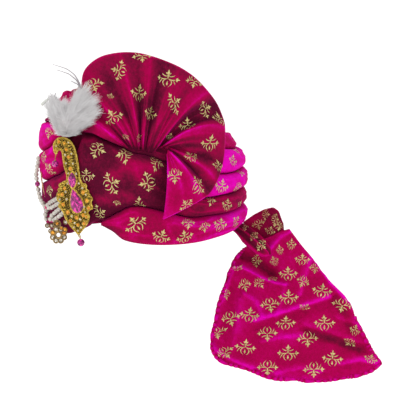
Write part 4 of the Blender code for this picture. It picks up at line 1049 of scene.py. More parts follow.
TAIL_PRINT = (
    (288.4, 274.4, 0, 0.80), (321.9, 291.8, 10, 0.84), (288.4, 298.5, 0, 0.84),
    (249.2, 315.5, 8, 0.84), (285.7, 323.5, 0, 0.84), (324.6, 323.5, 0, 0.88),
    (244.9, 348.0, 8, 0.88), (288.0, 354.0, 2, 0.88), (332.6, 359.5, 5, 0.88),
    (256.3, 260.5, 95, 0.62), (274.5, 261.0, -20, 0.62, 0.62), (302.5, 259.5, 5, 0.66),
    (315.2, 268.0, 185, 0.62, 0.8), (303.4, 281.5, 205, 0.70, 0.8),
    (244.3, 284.0, 165, 0.76, 0.72),
    (258.9, 282.8, 145, 0.70, 0.7), (272.6, 279.0, 165, 0.60, 0.8), (269.7, 304.5, 170, 0.84),
    (342.7, 304.5, 190, 0.84), (230.5, 318.0, 165, 0.84), (267.0, 333.5, 180, 0.84),
    (307.5, 339.0, 178, 0.88), (224.1, 352.5, 150, 0.80), (267.0, 367.5, 180, 0.88),
    (314.0, 369.0, 178, 0.88), (291.3, 244.3, 8, 0.66, 0.62), (279.8, 250.0, -8, 0.60, 0.5),
    (225.6, 294.0, 165, 0.66, 0.6), (305.0, 307.0, 20, 0.59), (355.5, 330.5, 15, 0.70, 0.7),
    (350.5, 342.5, 215, 0.72, 0.8), (371.0, 359.0, 20, 0.59), (237.0, 268.0, 20, 0.67),
    (217.0, 333.0, 170, 0.67), (266.0, 213.5, 100, 0.50), (275.0, 219.0, 100, 0.50),
    (258.0, 224.0, 160, 0.59), (270.0, 230.5, 20, 0.50), (280.0, 226.0, 200, 0.50),
    (247.0, 226.0, 120, 0.50), (254.5, 236.0, 130, 0.50), (262.0, 245.0, 130, 0.50),
)


# Where no motif is listed: rows on the turns behind, each with the degrees that
# it goes from and to, and rings on the crown's cover, by their part of the way up and
# their count.
BACK_PRINT = (("coil_1", 75, 232), ("coil_2", 81, 232), ("coil_3", 77, 232),
              ("coil_4", 84, 225), ("coil_5", 79, 222))
BACK_PRINT_STEP, BACK_PRINT_SIZE = 13.0, 0.95
COVER_PRINT = ((0.22, 11), (0.5, 7), (0.78, 3))
# A motif's place has cloth within this far of it, in metres, that isn't seen edge on.
PRINT_REACH, EDGE_ON = 0.003, 0.12


def facing(points):
    """The grid's unit normals, from the cross product of its two slopes."""
    return unit(np.cross(np.gradient(points, axis=0), np.gradient(points, axis=1)))


def stamp(points, normals, i, j, up, size, wrap, narrow=1.0):
    """The motif laid on the grid round (i, j): its own x and y become steps along the
    grid by the slopes there, and each point is then read off between grid points.
    """
    rows, columns = points.shape[:2]
    flat, faces = buti()
    flat = flat * size * np.array([narrow, 1.0])
    normal = normals[i, j]
    upward = unit(up - (up @ normal) * normal)
    rightward = np.cross(upward, normal)
    a, b = (i + 1) % rows if wrap else min(i + 1, rows - 1), max(i - 1, 0)
    down_rows = (points[a, j] - points[b, j]) / ((a - b) % rows if wrap else a - b)
    right, left = min(j + 1, columns - 1), max(j - 1, 0)
    along_columns = (points[i, right] - points[i, left]) / (right - left)
    step = np.linalg.pinv(np.stack([down_rows, along_columns], axis=1))
    moved = (flat[:, 0, None] * rightward + flat[:, 1, None] * upward) @ step.T
    row, column = i + moved[:, 0], j + moved[:, 1]
    inside = (column >= 0) & (column <= columns - 1)
    if not wrap:
        inside &= (row >= 0) & (row <= rows - 1)
        row = np.clip(row, 0, rows - 1.001)
    column = np.clip(column, 0, columns - 1.001)
    r, c = np.floor(row).astype(int), np.floor(column).astype(int)
    s, t = (row - r)[:, None], (column - c)[:, None]
    r0, r1 = r % rows, (r + 1) % rows

    def spot(grid):
        return ((grid[r0, c] * (1 - s) + grid[r1, c] * s) * (1 - t)
                + (grid[r0, c + 1] * (1 - s) + grid[r1, c + 1] * s) * t)

    return spot(points) + FOIL_LIFT * spot(normals), faces[inside[faces].all(axis=1)]


def print_cloth():
    """Stamps every motif on its cloth: those that show, and rows of them behind."""
    lots = {name: [] for name in PRINTED}
    grids = {name: (points, facing(points), wrap)
             for name, (_, points, wrap) in PRINTED.items()}
    flat = {name: (points @ ACROSS, points @ UP, points @ OUT, normals @ OUT)
            for name, (points, normals, _) in grids.items()}
    for x, y, clockwise, size, *narrow in TURBAN_PRINT + TAIL_PRINT:
        across, up = pictured(x, y)
        found = []
        for name, (a, u, out, toward) in flat.items():
            gap = np.hypot(a - across, u - up) + 0.1 * (toward < EDGE_ON)
            i, j = np.unravel_index(np.argmin(gap), gap.shape)
            if gap[i, j] < PRINT_REACH:
                found.append((out[i, j], name, i, j))
        if not found:
            continue
        _, name, i, j = max(found)
        points, normals, wrap = grids[name]
        angle = math.radians(clockwise)
        lots[name].append(stamp(points, normals, i, j, UP * math.cos(angle)
                                + ACROSS * math.sin(angle), size, wrap, *narrow))
    # Behind, the rows are laid out as on the bolt: alternate motifs point up and down.
    for name, first, last in BACK_PRINT:
        points, normals, wrap = grids[name]
        columns = points.shape[1]
        middle = points[:, columns // 2]
        turn = np.degrees(np.arctan2(middle[:, 1] / HALF_LENGTH,
                                     middle[:, 0] / HALF_WIDTH)) % 360
        for k, degrees in enumerate(np.arange(first, last, BACK_PRINT_STEP)):
            i = int(np.argmin(np.abs(turn - degrees)))
            j = int(columns * (0.34 if k % 2 else 0.66))
            angle = math.radians(180 * (k % 2) + 25 * math.sin(2.4 * k + first))
            level = np.cross([0, 0, 1], normals[i, j])
            upward = np.array([0, 0, 1]) * math.cos(angle) + level * math.sin(angle)
            lots[name].append(stamp(points, normals, i, j, upward, BACK_PRINT_SIZE, wrap))
    points, normals, wrap = grids["crown_cover"]
    for k, (degrees, part) in enumerate([
            (degrees, part) for part, count in COVER_PRINT
            for degrees in np.linspace(0, 360, count, endpoint=False)]):
        i = int(degrees / TURN_STEP)
        j = int(COVER_COLUMNS * part)
        inward = unit(points[i, min(j + 3, COVER_COLUMNS - 1)] - points[i, j])
        lots["crown_cover"].append(stamp(points, normals, i, j, inward * (1 if k % 2 else -1),
                                         BACK_PRINT_SIZE, wrap))
    return {name: assemble(f"print_on_{name}", parts, "foil", merge=False)
            for name, parts in lots.items() if parts}


# Brooch.

BROOCH_AZIMUTH = math.radians(27)
BROOCH_CENTRE = (76.0, 190.0)
BROOCH_STAND_OFF = -0.00016
BROOCH_LEAN = math.radians(-3)
PLATE_TOP, RIM_RISE = 0.0020, 0.0024
STONE_BASE = PLATE_TOP + 0.00055
# The plate's outline: x and y of its corners, clockwise from the top of the hook.
PLATE_OUTLINE = (
    (64.2, 137.7), (70.5, 140.0), (74.9, 146.2), (77.4, 155.0), (79.2, 165.0), (79.9, 172.5),
    (81.1, 180.0), (84.2, 184.4), (87.7, 186.9), (86.7, 190.6), (91.1, 195.0), (93.0, 199.4),
    (91.6, 203.0), (93.6, 207.5), (89.9, 210.2), (88.0, 211.6), (89.9, 217.5), (89.2, 221.2),
    (86.1, 226.2), (83.0, 230.0), (80.5, 233.1), (78.6, 233.8), (76.7, 231.2), (73.0, 227.5),
    (69.2, 222.5), (66.1, 217.5), (64.2, 211.2), (60.7, 207.5), (61.7, 202.5), (58.0, 200.0),
    (58.0, 193.7), (61.1, 190.6), (60.2, 185.6), (64.2, 181.9), (68.0, 181.2), (68.2, 175.0),
    (65.5, 167.5), (64.2, 160.0), (63.6, 152.5), (61.7, 149.6), (58.6, 150.2), (57.4, 155.0),
    (55.5, 152.5), (54.2, 146.2), (56.1, 141.2), (59.9, 138.4),
)
# The stones in the brooch's own millimetres: x, y, half width and half height, or radius;
# and a cut stone's flat top as a part of its outline.
MARQUISE = (-1.8, 12.6, 6.0, 9.8)
STONE_TABLE = 0.55
TEARDROP = (2.6, -13.2, 10.4, 15.4)
TEARDROP_TILT = math.radians(16)
SMALL_STONES = (
    (-9.5, 51.0, 2.2), (-6.5, 41.5, 2.2), (-4.2, 27.0, 2.4), (-13.6, 1.6, 2.3),
    (-17.3, -6.2, 2.6), (-22.2, -6.4, 1.7), (-16.4, -18.8, 2.6), (-9.8, -28.4, 2.7),
    (-6.0, -39.0, 2.3), (3.0, -34.4, 2.5), (12.8, -31.0, 2.4), (13.6, -41.5, 2.5),
    (4.6, -43.6, 2.1), (13.4, -2.2, 2.6), (18.6, -12.4, 2.7), (20.8, -21.8, 2.5),
    (17.2, -33.0, 1.9), (-12.0, 58.6, 2.1), (-20.0, 60.2, 2.1),
)
CLEAR_STONES = (
    (-11.5, 44.0, 1.5), (-2.0, 46.0, 1.5), (-10.5, 33.5, 1.6), (0.0, 33.5, 1.6),
    (-7.4, 21.0, 1.2), (4.0, 21.0, 1.6), (-12.0, -2.5, 1.7), (-11.0, -12.0, 1.7),
    (-21.0, -12.5, 1.6), (-4.0, -33.0, 1.7), (8.4, -36.5, 1.7), (0.0, -41.5, 1.6),
    (9.0, -47.0, 1.7), (4.6, -51.0, 1.5), (12.6, 3.0, 1.6), (17.5, -4.9, 1.3),
    (14.6, -20.5, 1.6), (16.0, -27.0, 1.3), (-1.4, -46.8, 1.4), (9.0, -26.5, 1.5),
    (-24.5, 54.5, 1.2), (-6.0, 60.0, 1.3), (7.5, 9.0, 1.5), (-9.0, 8.0, 1.4),
)
# Wire leaves round the body: root x and y, tip x and y, and half width.
WIRE_LEAVES = (
    (11.0, 8.0, 18.8, 5.4, 3.0), (16.0, 1.5, 21.5, -2.5, 2.8), (19.0, -8.0, 26.5, -11.0, 3.6),
    (19.0, -19.0, 26.8, -21.0, 3.4), (15.0, -27.0, 20.8, -34.0, 3.2),
    (-13.0, 7.0, -21.6, 5.0, 2.6), (-17.0, 0.5, -23.0, -1.5, 2.8),
    (-19.0, -6.5, -25.5, -9.5, 3.0), (-17.0, -17.5, -22.5, -22.5, 3.0),
    (-12.0, -26.0, -17.5, -27.0, 2.4), (13.0, -37.0, 17.0, -42.0, 2.6),
    (8.0, -46.0, 9.5, -51.0, 2.2), (-3.0, -42.0, -6.0, -46.0, 2.2),
)
# The middle of the hook, from its tip round to the stem, and the beads' x, y and radius.
HOOK_LINE = ((-25.5, 45.0), (-25.8, 52.0), (-21.0, 59.0), (-13.0, 60.3), (-7.0, 53.0),
             (-5.2, 44.0), (-4.0, 35.0), (-1.5, 25.0))
HOOK_BEAD = (-26.2, 32.2, 4.4)
DROP_BEAD = (6.9, -66.2, 4.9)
GRAIN_SPACING = 1.75
# How far the beads' middles are out from the brooch's back, in metres.
HOOK_RISE, DROP_RISE = 0.0030, 0.0010


def brooch_axes():
    """The brooch's origin and its directions across, up and out."""
    across = np.array([math.cos(BROOCH_AZIMUTH), math.sin(BROOCH_AZIMUTH), 0.0])
    flat = np.array([math.sin(BROOCH_AZIMUTH), -math.cos(BROOCH_AZIMUTH), 0.0])
    out = flat * math.cos(BROOCH_LEAN) + np.array([0, 0, math.sin(BROOCH_LEAN)])
    up = np.cross(across, -out)
    centre = seen(*pictured(*BROOCH_CENTRE), 0.0)
    touching = math.hypot(HALF_WIDTH * flat[0], HALF_LENGTH * flat[1])
    distance = (touching + BROOCH_STAND_OFF - centre @ flat) / (OUT @ flat)
    return centre + distance * OUT, across, up, out


BROOCH = brooch_axes()


def on_brooch(places, out):
    """Points of the brooch from its own millimetres, and metres out from its back."""
    origin, across, up, outward = BROOCH
    places = 0.001 * np.asarray(places, float)
    return (origin + places[..., 0, None] * across + places[..., 1, None] * up
            + np.asarray(out)[..., None] * outward)


def on_plate(x, y):
    """The brooch's own millimetres for a place in the tables, taken at its rim's front."""
    origin, across, up, outward = BROOCH
    slants = np.array([[across @ ACROSS, up @ ACROSS], [across @ UP, up @ UP]])
    base = origin + RIM_RISE * outward
    gap = np.stack(pictured(x, y)) - np.array([[base @ ACROSS], [base @ UP]])
    return 1000 * np.linalg.solve(slants, gap).T


def cut_stone(outline, height):
    """A cut stone: a girdle, a ring of crown facets turned half a step, and a table."""
    outline = np.asarray(outline, float)
    count, middle = len(outline), outline.mean(axis=0)
    half = (outline + np.roll(outline, -1, axis=0)) / 2

    def ring(line, scale, rise):
        return on_brooch(middle + (line - middle) * scale, np.full(count, STONE_BASE + rise))

    points = np.concatenate([ring(outline, 0.95, 0.0), ring(outline, 1.0, 0.25 * height),
                             ring(half, 0.82, 0.72 * height),
                             ring(outline, STONE_TABLE, height),
                             ring(outline, 0.0, height)])
    k = np.arange(count)
    n = (k + 1) % count
    low, girdle, crown, top, mid = (k + count * level for level in range(5))
    nlow, ngirdle, ncrown, ntop = (n + count * level for level in range(4))
    faces = np.concatenate([
        np.stack([low, nlow, ngirdle], -1), np.stack([low, ngirdle, girdle], -1),
        np.stack([girdle, ngirdle, crown], -1), np.stack([ngirdle, ncrown, crown], -1),
        np.stack([crown, ncrown, ntop], -1), np.stack([top, crown, ntop], -1),
        np.stack([top, ntop, mid], -1)])
    return points, faces


def round_outline(x, y, radius, count=8):
    """A flat circle in the brooch's own millimetres."""
    turn = turns(count)
    return np.stack([x + radius * np.cos(turn), y + radius * np.sin(turn)], axis=-1)


def flashes(faces, seed, low=0.1, high=1.0):
    """A share of light for each facet, in a fixed scatter."""
    k = np.arange(faces)
    value = np.sin(k * 12.9898 + seed * 78.233) * 43758.5453
    return low + (high - low) * (value - np.floor(value)) ** 1.4


def stones(name, outlines, look, nodes, height, seed):
    """Cut stones of one height in one piece, each on its outline."""
    parts = [cut_stone(line, height) for line in outlines]
    count = sum(len(faces) for _, faces in parts)
    assemble(name, parts, look, nodes, smooth=False, flash=flashes(count, seed))


def drop_outline(count=20):
    """The teardrop's outline: a circle whose width narrows towards its top, then tilted."""
    turn = turns(count)
    width = np.sin(turn) * np.clip((1 - np.cos(turn)) / 2, 0, 1) ** 0.55 * 1.18
    drop = np.stack([width, np.cos(turn)], axis=-1) * TEARDROP[2:]
    c, s = math.cos(TEARDROP_TILT), math.sin(TEARDROP_TILT)
    drop = drop @ np.array([[c, s], [-s, c]])
    return np.array(TEARDROP[:2]) + drop[::-1]


def marquise_outline(count=16):
    """The marquise's outline: an ellipse drawn in to a point at its top and foot."""
    turn = turns(count)
    pointed = np.stack([-np.sin(turn) * np.abs(np.sin(turn)) ** 0.4, np.cos(turn)], axis=-1)
    return MARQUISE[:2] + pointed * MARQUISE[2:]


def inside_outline(places, outline):
    """Whether each place lies in the outline: an odd number of edges lies to its right."""
    x, y = places[:, 0, None], places[:, 1, None]
    a, b = outline, np.roll(outline, -1, axis=0)
    crosses = (a[:, 1] > y) != (b[:, 1] > y)
    at = a[:, 0] + (y - a[:, 1]) * (b[:, 0] - a[:, 0]) / (b[:, 1] - a[:, 1] + 1e-12)
    return (crosses & (x < at)).sum(axis=1) % 2 == 1


def wire(line, rise, radius, lay=None, sides=6, closed=True):
    """A wire on the plate along a flat line, this far over it; with a lay it is twisted."""
    path = on_brooch(line, np.full(len(line), PLATE_TOP + rise))
    if lay is None:
        return tube(path, radius, sides, BROOCH[3], closed)
    return rope(path, radius, lay, BROOCH[3], sides, closed)


def grains(outline, stone_lines):
    """Places of the grains: a fixed scatter, thinned round the stones and each other."""
    k = np.arange(2600)
    scatter = np.stack([-32 + 60 * ((k * 0.754877666) % 1), -58 + 126 * ((k * 0.569840291) % 1)],
                       axis=-1)
    scatter = scatter[inside_outline(scatter, outline)]
    clear = np.ones(len(scatter), bool)
    for x, y, radius in SMALL_STONES + CLEAR_STONES:
        clear &= np.hypot(scatter[:, 0] - x, scatter[:, 1] - y) > radius + 1.0
    for line in stone_lines:
        centre = line.mean(axis=0)
        clear &= ~inside_outline((scatter - centre) / 1.22 + centre, line)
    taken = np.empty((0, 2))
    for place in scatter[clear]:
        if len(taken) == 0 or np.hypot(*(taken - place).T).min() > GRAIN_SPACING:
            taken = np.vstack([taken, place])
    return taken


def brooch():
    """The setting's wires, cups and grains over the plate, and the stones in them."""
    outline = on_plate(*np.asarray(PLATE_OUTLINE, float).T)
    rounded = np.repeat(outline, 4, axis=0)
    for _ in range(5):
        rounded = (np.roll(rounded, 1, axis=0) + 2 * rounded + np.roll(rounded, -1, axis=0)) / 4
    count = len(rounded)
    k = np.arange(count)
    back, top = (on_brooch(rounded[::-1], np.full(count, out)) for out in (0.0, PLATE_TOP))
    sides = np.stack([k, (k + 1) % count, (k + 1) % count + count, k + count], axis=-1)
    assemble("brooch_ground", [(np.concatenate([back, top]), sides), (top, k[None]),
                               (back, k[None, ::-1])], "plate", ["brooch_plate"], smooth=False)
    # A second wire runs inside the outline's first, moved in by the line's own normal.
    inward = -beside_line(np.roll(rounded, -2, axis=0) - np.roll(rounded, 2, axis=0))
    parts = [wire(rounded, 0.0004, 0.00095, 0.0022, sides=8),
             wire(rounded + 1.7 * inward, 0.0003, 0.0006, 0.0016)]
    stone_lines = drop_outline(40), marquise_outline(32)
    for line in stone_lines:
        centre = line.mean(axis=0)
        for scale, radius, rise in ((1.04, 0.0009, 0.0010), (1.17, 0.0006, 0.0005)):
            parts.append(wire(centre + (line - centre) * scale, rise, radius, 0.0018))
    for x, y, radius in SMALL_STONES + CLEAR_STONES:
        parts.append(wire(round_outline(x, y, radius + 0.25, 14), 0.0009, 0.00050))
    for x0, y0, x1, y1, half in WIRE_LEAVES:
        root, stretch = np.array([x0, y0]), np.array([x1 - x0, y1 - y0])
        reach = (1 - np.cos(turns(22))) / 2
        leaf = (root + reach[:, None] * stretch
                + (half * np.sin(turns(22)) * (0.35 + 0.65 * reach) * 1.1)[:, None]
                * beside_line(stretch[None]))
        parts.append(wire(leaf, 0.0008, 0.00070, 0.0018))
    # The hook's own wire winds to and fro between its edges.
    path, at = resampled(HOOK_LINE, 0.5)
    wide = np.interp(at, [0, 12, 30, at[-1]], [1.2, 2.2, 4.2, 4.0])
    wind = path + beside_line(np.gradient(path, axis=0)) * (
        wide * np.sin(2 * np.pi * at / 3.4))[:, None]
    parts.append(wire(wind, 0.0003, 0.00055, closed=False))
    for index, place in enumerate(grains(outline, stone_lines)):
        radius = 0.00062 + 0.00028 * ((index * 0.618) % 1)
        parts.append(ball(on_brooch(place, PLATE_TOP + 0.0003), radius, 7, 4, 1.0,
                          BROOCH[1:]))
    assemble("brooch_setting", parts, "gilt")
    amber, clear = ([round_outline(x, y, radius - 0.05) for x, y, radius in table]
                    for table in (SMALL_STONES, CLEAR_STONES))
    nodes = [f"small_stone_{i + 1:02d}" for i in range(len(SMALL_STONES))]
    stones("amber_stones", amber, "amber", nodes, 0.0019, 3)
    stones("clear_stones", clear, "clear", [], 0.0014, 5)
    stones("marquise_cut", [marquise_outline()], "pink", ["marquise_stone"], 0.0036, 7)
    stones("teardrop_cut", [drop_outline()], "pink", ["teardrop_stone"], 0.0046, 12)


def faceted_bead(name, centre, radius, seed):
    """A glass bead cut in rows of flat facets."""
    assemble(f"{name}_cut", [ball(centre, radius, 10, 6, 0.95)], "pink", [name],
             smooth=False, flash=flashes(60, seed, 0.15, 0.9))


def hanging_beads():
    """The bead in the hook and the drop, each on its wire."""
    for name, (x, y, radius), rise, seed in (("hook_bead", HOOK_BEAD, HOOK_RISE, 21),
                                             ("drop_bead", DROP_BEAD, DROP_RISE, 26)):
        faceted_bead(name, on_brooch((x, y), rise), 0.001 * radius, seed)
    x, y, radius = DROP_BEAD
    top, bead = np.array([3.6, -55.0]), np.array([x, y + radius])
    rise = DROP_RISE - PLATE_TOP
    wires = [wire(round_outline(*(top + (bead - top) * part), half, 12), rise, 0.00042, sides=5)
             for part, half in ((0.10, 1.7), (0.42, 1.5), (0.72, 1.3))]
    shank = top + (bead - top) * np.linspace(0.75, 1.12, 6)[:, None]
    wires.append(wire(shank, rise, 0.0004, sides=5, closed=False))
    assemble("drop_rings", wires, "gilt", ["drop_link"])
    x, y, radius = HOOK_BEAD
    pin = [(-24.8, 43.5), (-25.6, 41.5), (-26.0, 39.5), (-26.2, 36.0)]
    assemble("hook_pin", [wire(pin, HOOK_RISE - PLATE_TOP, 0.0004, sides=5, closed=False),
                          ball(on_brooch((x + 0.2, y + radius - 0.1), HOOK_RISE), 0.0011, 8,
                               5)], "gilt")


# A string's points and how much its pearls' radii vary. Then the strings: how far they
# stand off the turns in millimetres, whether the string keeps to one depth, and x and y
# of its places.
STRING_POINTS, PEARL_SPREAD = 40, 0.04
STRINGS = {
    "pearl_string_outer": (6.4, True, ((39.0, 156.5), (38.6, 163.0), (37.2, 169.5),
                                       (36.4, 175.5), (37.2, 180.6))),
    "pearl_string_lower": (6.6, False, ((38.2, 187.4), (39.6, 195.5), (42.0, 201.4),
                                        (45.2, 206.2), (47.3, 210.2), (45.7, 214.9),
                                        (46.5, 220.9))),
    "pearl_row_upper": (7.4, False, ((61.0, 196.8), (55.0, 200.3), (49.2, 203.8),
                                     (47.2, 207.0), (51.3, 208.2), (57.2, 204.8),
                                     (62.8, 201.2))),
    "pearl_row_lower": (7.4, False, ((63.0, 206.6), (57.5, 211.2), (52.2, 215.8),
                                     (50.6, 219.4), (54.8, 220.2), (60.2, 216.0),
                                     (65.2, 211.4))),
}
CORD_LINE = ((41.5, 168.0), (41.8, 178.0), (43.5, 188.0), (46.0, 197.0))
# The spacer's x, y and radius in millimetres, the middles of the ring and the disc, and
# the ring's radius in metres and its cups' number.
SPACER = (37.8, 184.0, 3.4)
STONE_RING, RING_RADIUS, RING_CUPS = (59.2, 234.8), 0.0076, 8
STONE_DISC = (58.0, 223.7)
# How far off the turns the middles of the spacer, the ring and disc, and the joining
# cups lie, in metres, and the height below which they come no further in.
SPACER_LIFT, RING_LIFT, CUP_LIFT = 0.0066, 0.0082, 0.0075
LOWEST_SEAT = 0.004
# Cups that join the ring to the lower string: x, y and radius in millimetres.
JOINING_CUPS = ((47.8, 225.5, 3.2), (51.2, 231.0, 3.2), (66.0, 229.5, 3.1), (66.5, 222.0, 3.0),
                (52.5, 225.5, 3.0), (62.2, 228.0, 2.6))


def string_path(name):
    """A string's line over the turns, smoothed as the thread would lie."""
    lift, level, table = STRINGS[name]
    path = on_turns(*edge_points(table, STRING_POINTS).T, 0.001 * lift)
    depth = (path @ OUT)[:, None]
    if level:
        depth = np.full_like(depth, depth.mean())
    return path + (eased(depth, 60) - (path @ OUT)[:, None]) * OUT


def pearls():
    """Round pearls on their threads, bound at the rows' ends by pink braid."""
    for name in STRINGS:
        path = string_path(name)
        length = run_along(path)
        count = max(2, round(length[-1] / PEARL_PITCH))
        at = (np.arange(count) + 0.5) * length[-1] / count
        parts = [ball(place, PEARL_RADIUS * (1 + PEARL_SPREAD * math.sin(3.7 * k)), 14, 8)
                 for k, place in enumerate(read_off(at, length, path))]
        parts.append(tube(path, 0.0004, 5))
        assemble(f"{name}_pearls", parts, "pearl", [name])
    braids = []
    for name in ("pearl_row_upper", "pearl_row_lower"):
        path = string_path(name)
        middle = path.mean(axis=0)
        bound = middle + (path[10:31] - middle) * 1.24 + 0.0004 * OUT
        braids.append(rope(bound, 0.0011, 0.003, OUT))
    assemble("row_braid", braids, "pink_braid")
    cord = on_turns(*np.transpose(CORD_LINE), 0.0012)
    assemble("string_cord", [rope(resampled(cord, 0.001)[0], 0.0008, 0.0024, OUT)],
             "tan_braid")


def spacer_and_ring():
    """The spacer between the strings, and the ring and disc of stones in cups."""
    def loop(middle, rise, radius, count, thick):
        return tube(circle(middle + rise * OUT, radius, count), thick, 6, OUT, closed=True)

    x, y, radius = SPACER
    centre = on_turns(x, y, SPACER_LIFT)
    faceted_bead("spacer_bead", centre, 0.001 * radius, 31)
    caps = [ball(centre + side * 0.0034 * UP, 0.0016, 8, 5, 0.7) for side in (-1, 1)]
    centre = on_turns(*STONE_RING, RING_LIFT, LOWEST_SEAT)
    stone_parts = {"clear": [], "amber": []}
    for k in range(RING_CUPS):
        turn = 2 * np.pi * (k + 0.5) / RING_CUPS
        middle = centre + RING_RADIUS * (math.cos(turn) * ACROSS + math.sin(turn) * UP)
        caps += [ball(middle, 0.0040, 12, 6, 0.5), loop(middle, 0.0018, 0.0031, 14, 0.00045)]
        stone_parts["amber" if k in (0, 3) else "clear"].append(
            ball(middle + 0.0010 * OUT, 0.0027, 8, 4, 0.8))
    caps.append(loop(centre, -0.0006, RING_RADIUS, 30, 0.0008))
    caps.append(tube(circle(centre + 0.0010 * OUT, 0.0040, 24), 0.0015, 8, OUT, closed=True))
    assemble("ring_cups", caps, "worn", ["stone_ring"])
    middle = on_turns(*STONE_DISC, RING_LIFT)
    disc = [ball(middle + 0.0008 * OUT, 0.0044, 20, 6, 0.35),
            rope(circle(middle + 0.0018 * OUT, 0.0044, 26), 0.0006, 0.0018, OUT, closed=True),
            loop(middle, 0.0026, 0.0024, 26, 0.0004)]
    disc += [ball(place, 0.0006, 6, 4) for place in circle(middle + 0.0022 * OUT, 0.0034, 12)]
    assemble("disc_boss", disc, "worn", ["stone_disc"])
    stone_parts["amber"].append(ball(middle + 0.0018 * OUT, 0.0022, 8, 4, 0.7))
    cups = []
    for k, (x, y, radius) in enumerate(JOINING_CUPS):
        spot = on_turns(x, y, CUP_LIFT, LOWEST_SEAT)
        cups += [ball(spot, 0.001 * radius, 12, 6, 0.5),
                 loop(spot, 0.0011, 0.00085 * radius, 26, 0.0004)]
        stone_parts["amber" if k % 3 == 2 else "clear"].append(
            ball(spot + 0.0007 * OUT, 0.00078 * radius, 8, 4, 0.8))
    assemble("stone_cups", cups, "worn")
    for look, parts in stone_parts.items():
        count = sum(len(faces) for _, faces in parts)
        assemble(f"ring_stones_{look}", parts, look, smooth=False, flash=flashes(count, 9))


# Plume.

# The down's edge, x and y round from its root, its middle, and the shaft's line.
PLUME_EDGE = (
    (63.0, 137.0), (58.0, 133.0), (54.0, 126.0), (50.5, 117.0), (47.5, 108.0), (46.5, 99.5),
    (52.0, 95.5), (57.0, 98.0), (62.0, 101.5), (67.0, 103.5), (72.0, 103.0), (77.0, 99.0),
    (80.0, 92.0), (84.5, 85.0), (90.0, 90.5), (96.0, 98.0), (99.5, 106.0), (97.5, 116.0),
    (93.0, 122.0), (86.0, 126.5), (80.5, 131.0), (76.0, 135.5), (71.0, 138.5),
)
PLUME_MIDDLE = (69.5, 116.0)
PLUME_SHAFT = ((67.5, 137.5), (67.0, 128.0), (69.5, 114.0))
PLUME_THICKNESS = 0.0115
PLUME_FOOT = 136.0
EDGE_POINTS = 96
BARBS, BARB_JOINTS = 10000, 5
# Long barbs that stray over the top, x and y of their points from the root out.
WISPS = (
    ((83.0, 92.0), (81.0, 85.0), (76.0, 76.0), (68.0, 70.0), (54.0, 65.5)),
    ((81.5, 90.0), (78.5, 82.0), (70.0, 75.0), (58.0, 71.0)),
    ((84.0, 92.0), (80.0, 86.0), (72.0, 82.0)),
    ((56.0, 104.0), (55.5, 98.0), (57.0, 94.0)),
    ((60.0, 104.0), (57.0, 99.0), (51.0, 97.0)),
)
WISP_POINTS, WISP_BARBS = 24, 60
QUILL = ((51.0, 98.5), (42.6, 106.0))
PLUME_OUT = float(seated(*pictured(*PLUME_MIDDLE), 0.033))


def in_plume(places, rise):
    """Points at these places as seen, whose foot bends back behind the hook."""
    behind = 0.023 * smooth((places[..., 1] - 118) / 18)
    return seen(*pictured(places[..., 0], places[..., 1]), PLUME_OUT + rise - behind)


def scattered(k, pitch, count, size):
    """Columns of fixed random numbers from -0.5 to 0.5, the same for equal k."""
    return np.stack([(np.sin(k * pitch + n) * size) % 1 - 0.5 for n in range(count)], axis=-1)


def plume_core(edge):
    """The down's body: its edge's outline drawn in as the cosine of the tilt."""
    middle = np.array(PLUME_MIDDLE)
    tilt = np.linspace(-np.pi / 2, np.pi / 2, 25)[:, None, None]
    core = middle + 0.80 * np.cos(tilt) * (edge[None] - middle)
    lumps = 1 + 0.05 * ruffle(core[..., 0] / 4, core[..., 1] / 4, 71)[..., None]
    core = middle + (core - middle) * lumps
    rise = 0.60 * PLUME_THICKNESS * np.sin(tilt[..., 0]) * np.ones((1, EDGE_POINTS))
    # Painted shade: the body inside the barbs is grey, in random patches.
    shade = 0.45 + 0.25 * ruffle(core[..., 0] / 3, core[..., 1] / 3, 73)
    assemble("plume_core", [(in_plume(core, rise).reshape(-1, 3),
                             grid_faces(25, EDGE_POINTS, False, True)[:, ::-1])], "marabou",
             ["plume"], nap=shade)


